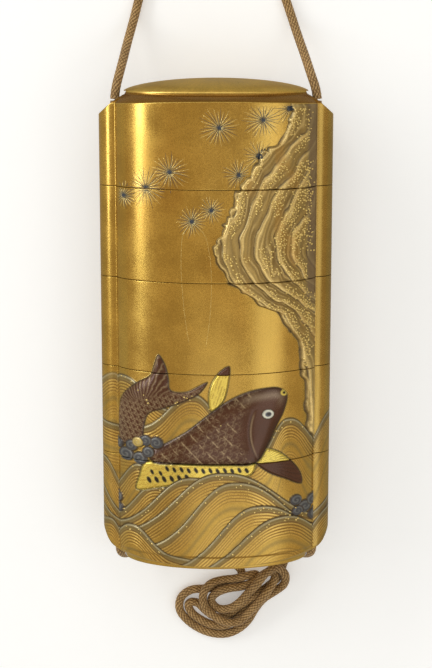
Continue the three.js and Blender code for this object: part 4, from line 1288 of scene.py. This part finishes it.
def add_threads():
    """Long thin gold lines that hang down between the branches and the water."""
    lines, wide = [], []
    for route in ([(-4.2, 21.6), (-6.2, 20.4), (-6.8, 15.0), (-6.6, 9.0), (-6.0, 3.0), (-5.2, -2.5)],
                  [(-4.0, 21.8), (-2.3, 20.0), (-1.2, 15.8), (-0.9, 9.0), (-1.3, 2.5), (-2.2, -3.5)]):
        path = curve_points([(x, y, 0) for x, y in route], steps=10)[:, :2]
        for i in range(0, len(path) - 5, 4):
            for a, b in trimmed(path[i], path[i + 4], 0.1):
                lines.append(a + (b - a) * np.linspace(0, 1, 5)[:, None])
                wide.append(np.full(5, 0.10))
    joined("hanging_threads", *strokes(lines, wide, 0.03), DROP_GOLD, "gold_foil")


DROP_TRIES = 24000                     # places tried, of which those on the bark are kept


def add_gold_drops():
    rng = np.random.default_rng(61)
    x = rng.uniform(-1, 19.4, DROP_TRIES)
    y = rng.uniform(-20, 44, DROP_TRIES)
    keep = rng.uniform(0, 1, DROP_TRIES) < look_up(PICTURE.dots, x, y) * 0.9
    spots = list(zip(x[keep], y[keep]))
    for i, wave in enumerate(WAVES):
        at = rng.uniform(-19.2, 19.2, 60)
        crest, away = wave_crest(wave, at)
        for px, py, off in zip(at, crest, away):
            py = py - rng.uniform(0.25, 1.3)
            hidden = any(wave_crest(w, np.array([px]))[0][0] > py for w in WAVES[i + 1:])
            if off < 1.2 and not hidden and py > WALL_BOTTOM + 2.2 and rng.uniform() < 0.55:
                spots.append((px, py))
    placed = []
    for px, py in spots:
        clear = all((px - qx) ** 2 + (py - qy) ** 2 > 0.17 for qx, qy in placed[-400:])
        if clear and any(low < py < high for low, high in BOX_SPANS):
            placed.append((px, py))
    placed = np.array(placed)
    sizes = rng.uniform(0.14, 0.25, len(placed))
    bpy.ops.object.select_all(action="DESELECT")
    bpy.ops.mesh.primitive_ico_sphere_add(subdivisions=1, radius=1)
    drop = bpy.context.object
    ball = np.array([v.co for v in drop.data.vertices])
    faces = np.array([tuple(p.vertices) for p in drop.data.polygons])
    bpy.data.objects.remove(drop)
    px = placed[:, None, 0] + sizes[:, None] * ball[None, :, 0]
    py = placed[:, None, 1] + sizes[:, None] * ball[None, :, 1]
    places = on_front(px, py, sizes[:, None] * 0.75 * ball[None, :, 2])
    joined("gold_drops", places, faces, DROP_GOLD, "gold_foil")


def plain_metal(name, colour, rough, metallic):
    """A small figure's own lacquer or foil, with a fine grain."""
    made = bpy.data.materials.new(name)
    made.use_nodes = True
    add, join = node_maker(made)
    where = add("ShaderNodeTexCoord")
    grain = add("ShaderNodeTexNoise", Scale=2600.0, Detail=2.0)
    join(where, "Object", grain, "Vector")
    ramp = add("ShaderNodeValToRGB")
    ramp.color_ramp.elements[0].position = 0.35
    ramp.color_ramp.elements[0].color = (*(v * 0.78 for v in colour), 1)
    ramp.color_ramp.elements[1].position = 0.65
    ramp.color_ramp.elements[1].color = (*colour, 1)
    join(grain, "Fac", ramp, "Fac")
    shader = add("ShaderNodeBsdfPrincipled", Metallic=metallic, Roughness=rough)
    join(ramp, "Color", shader, "Base Color")
    finish_material(add, join, shader)
    return made


DROP_GOLD = plain_metal("gold_foil_drops", linear(255, 236, 158), 0.3, 0.8)
NEEDLE_BLUE = plain_metal("blue_grey_needles", linear(66, 74, 84), 0.4, 0.15)

add_needles()
add_threads()
add_gold_drops()

# ---------------------------------------------------------------- floor and light

def add_floor():
    bpy.ops.object.select_all(action="DESELECT")
    bpy.ops.mesh.primitive_plane_add(size=6.0, location=(0, 0, 0))
    floor = bpy.context.object
    floor.name = "floor"
    made = bpy.data.materials.new("pale_paper")
    made.use_nodes = True
    add, join = node_maker(made)
    where = add("ShaderNodeTexCoord")
    tooth = add("ShaderNodeTexNoise", Scale=300.0, Detail=3.0)
    join(where, "Object", tooth, "Vector")
    ramp = add("ShaderNodeValToRGB")
    ramp.color_ramp.elements[0].color = (0.84, 0.835, 0.815, 1)
    ramp.color_ramp.elements[1].color = (0.86, 0.855, 0.835, 1)
    join(tooth, "Fac", ramp, "Fac")
    # polished sides mirror the paper as a dimmer, warmer sheet
    path = add("ShaderNodeLightPath")
    glow = add("ShaderNodeMix", data_type="RGBA")
    glow.inputs["A"].default_value = (1.0, 0.99, 0.965, 1)
    glow.inputs["B"].default_value = (0.10, 0.07, 0.04, 1)
    join(path, "Is Glossy Ray", glow, "Factor")
    seen = add("ShaderNodeMix", data_type="RGBA")
    seen.inputs["B"].default_value = (0.50, 0.42, 0.30, 1)
    join(path, "Is Glossy Ray", seen, "Factor")
    join(ramp, "Color", seen, "A")
    shader = add("ShaderNodeBsdfPrincipled", Roughness=0.95)
    shader.inputs["Specular IOR Level"].default_value = 0.1
    shader.inputs["Emission Strength"].default_value = 0.30
    join(glow, "Result", shader, "Emission Color")
    join(seen, "Result", shader, "Base Color")
    finish_material(add, join, shader)
    floor.data.materials.append(made)


def add_softbox(name, place, size, power, colour=(1, 1, 1)):
    """A rectangular soft light that faces the case."""
    from mathutils import Vector
    place = Vector(place)
    turn = (Vector((0, 0, 0.012)) - place).to_track_quat("-Z", "Y").to_euler()
    bpy.ops.object.select_all(action="DESELECT")
    bpy.ops.object.light_add(type="AREA", location=place, rotation=turn)
    light = bpy.context.object
    light.name = name
    light.data.shape = "RECTANGLE"
    light.data.size, light.data.size_y = size
    light.data.energy = power
    light.data.color = colour


def add_lights():
    world = bpy.data.worlds.new("studio")
    bpy.context.scene.world = world
    world.use_nodes = True
    nodes, links = world.node_tree.nodes, world.node_tree.links
    path = nodes.new("ShaderNodeLightPath")
    room = nodes.new("ShaderNodeMix")
    room.data_type = "RGBA"
    room.inputs["A"].default_value = (0.52, 0.515, 0.50, 1)
    room.inputs["B"].default_value = (0.50, 0.36, 0.23, 1)
    links.new(path.outputs["Is Glossy Ray"], room.inputs["Factor"])
    links.new(room.outputs["Result"], nodes["Background"].inputs["Color"])
    add_softbox("left_strip", (-0.52, 0.26, 0.31), (0.72, 0.12), 1.6)
    add_softbox("right_softbox", (0.386, -0.12, 0.46), (0.8, 0.26), 0.47)
    add_softbox("low_fill", (0.0, -0.32, 0.72), (0.5, 0.3), 0.30)
    add_softbox("overhead", (0.0, 0.60, 0.55), (0.8, 0.3), 0.80)
    view = bpy.context.scene.view_settings
    view.view_transform = "Standard"
    view.look = "None"


add_floor()
add_lights()
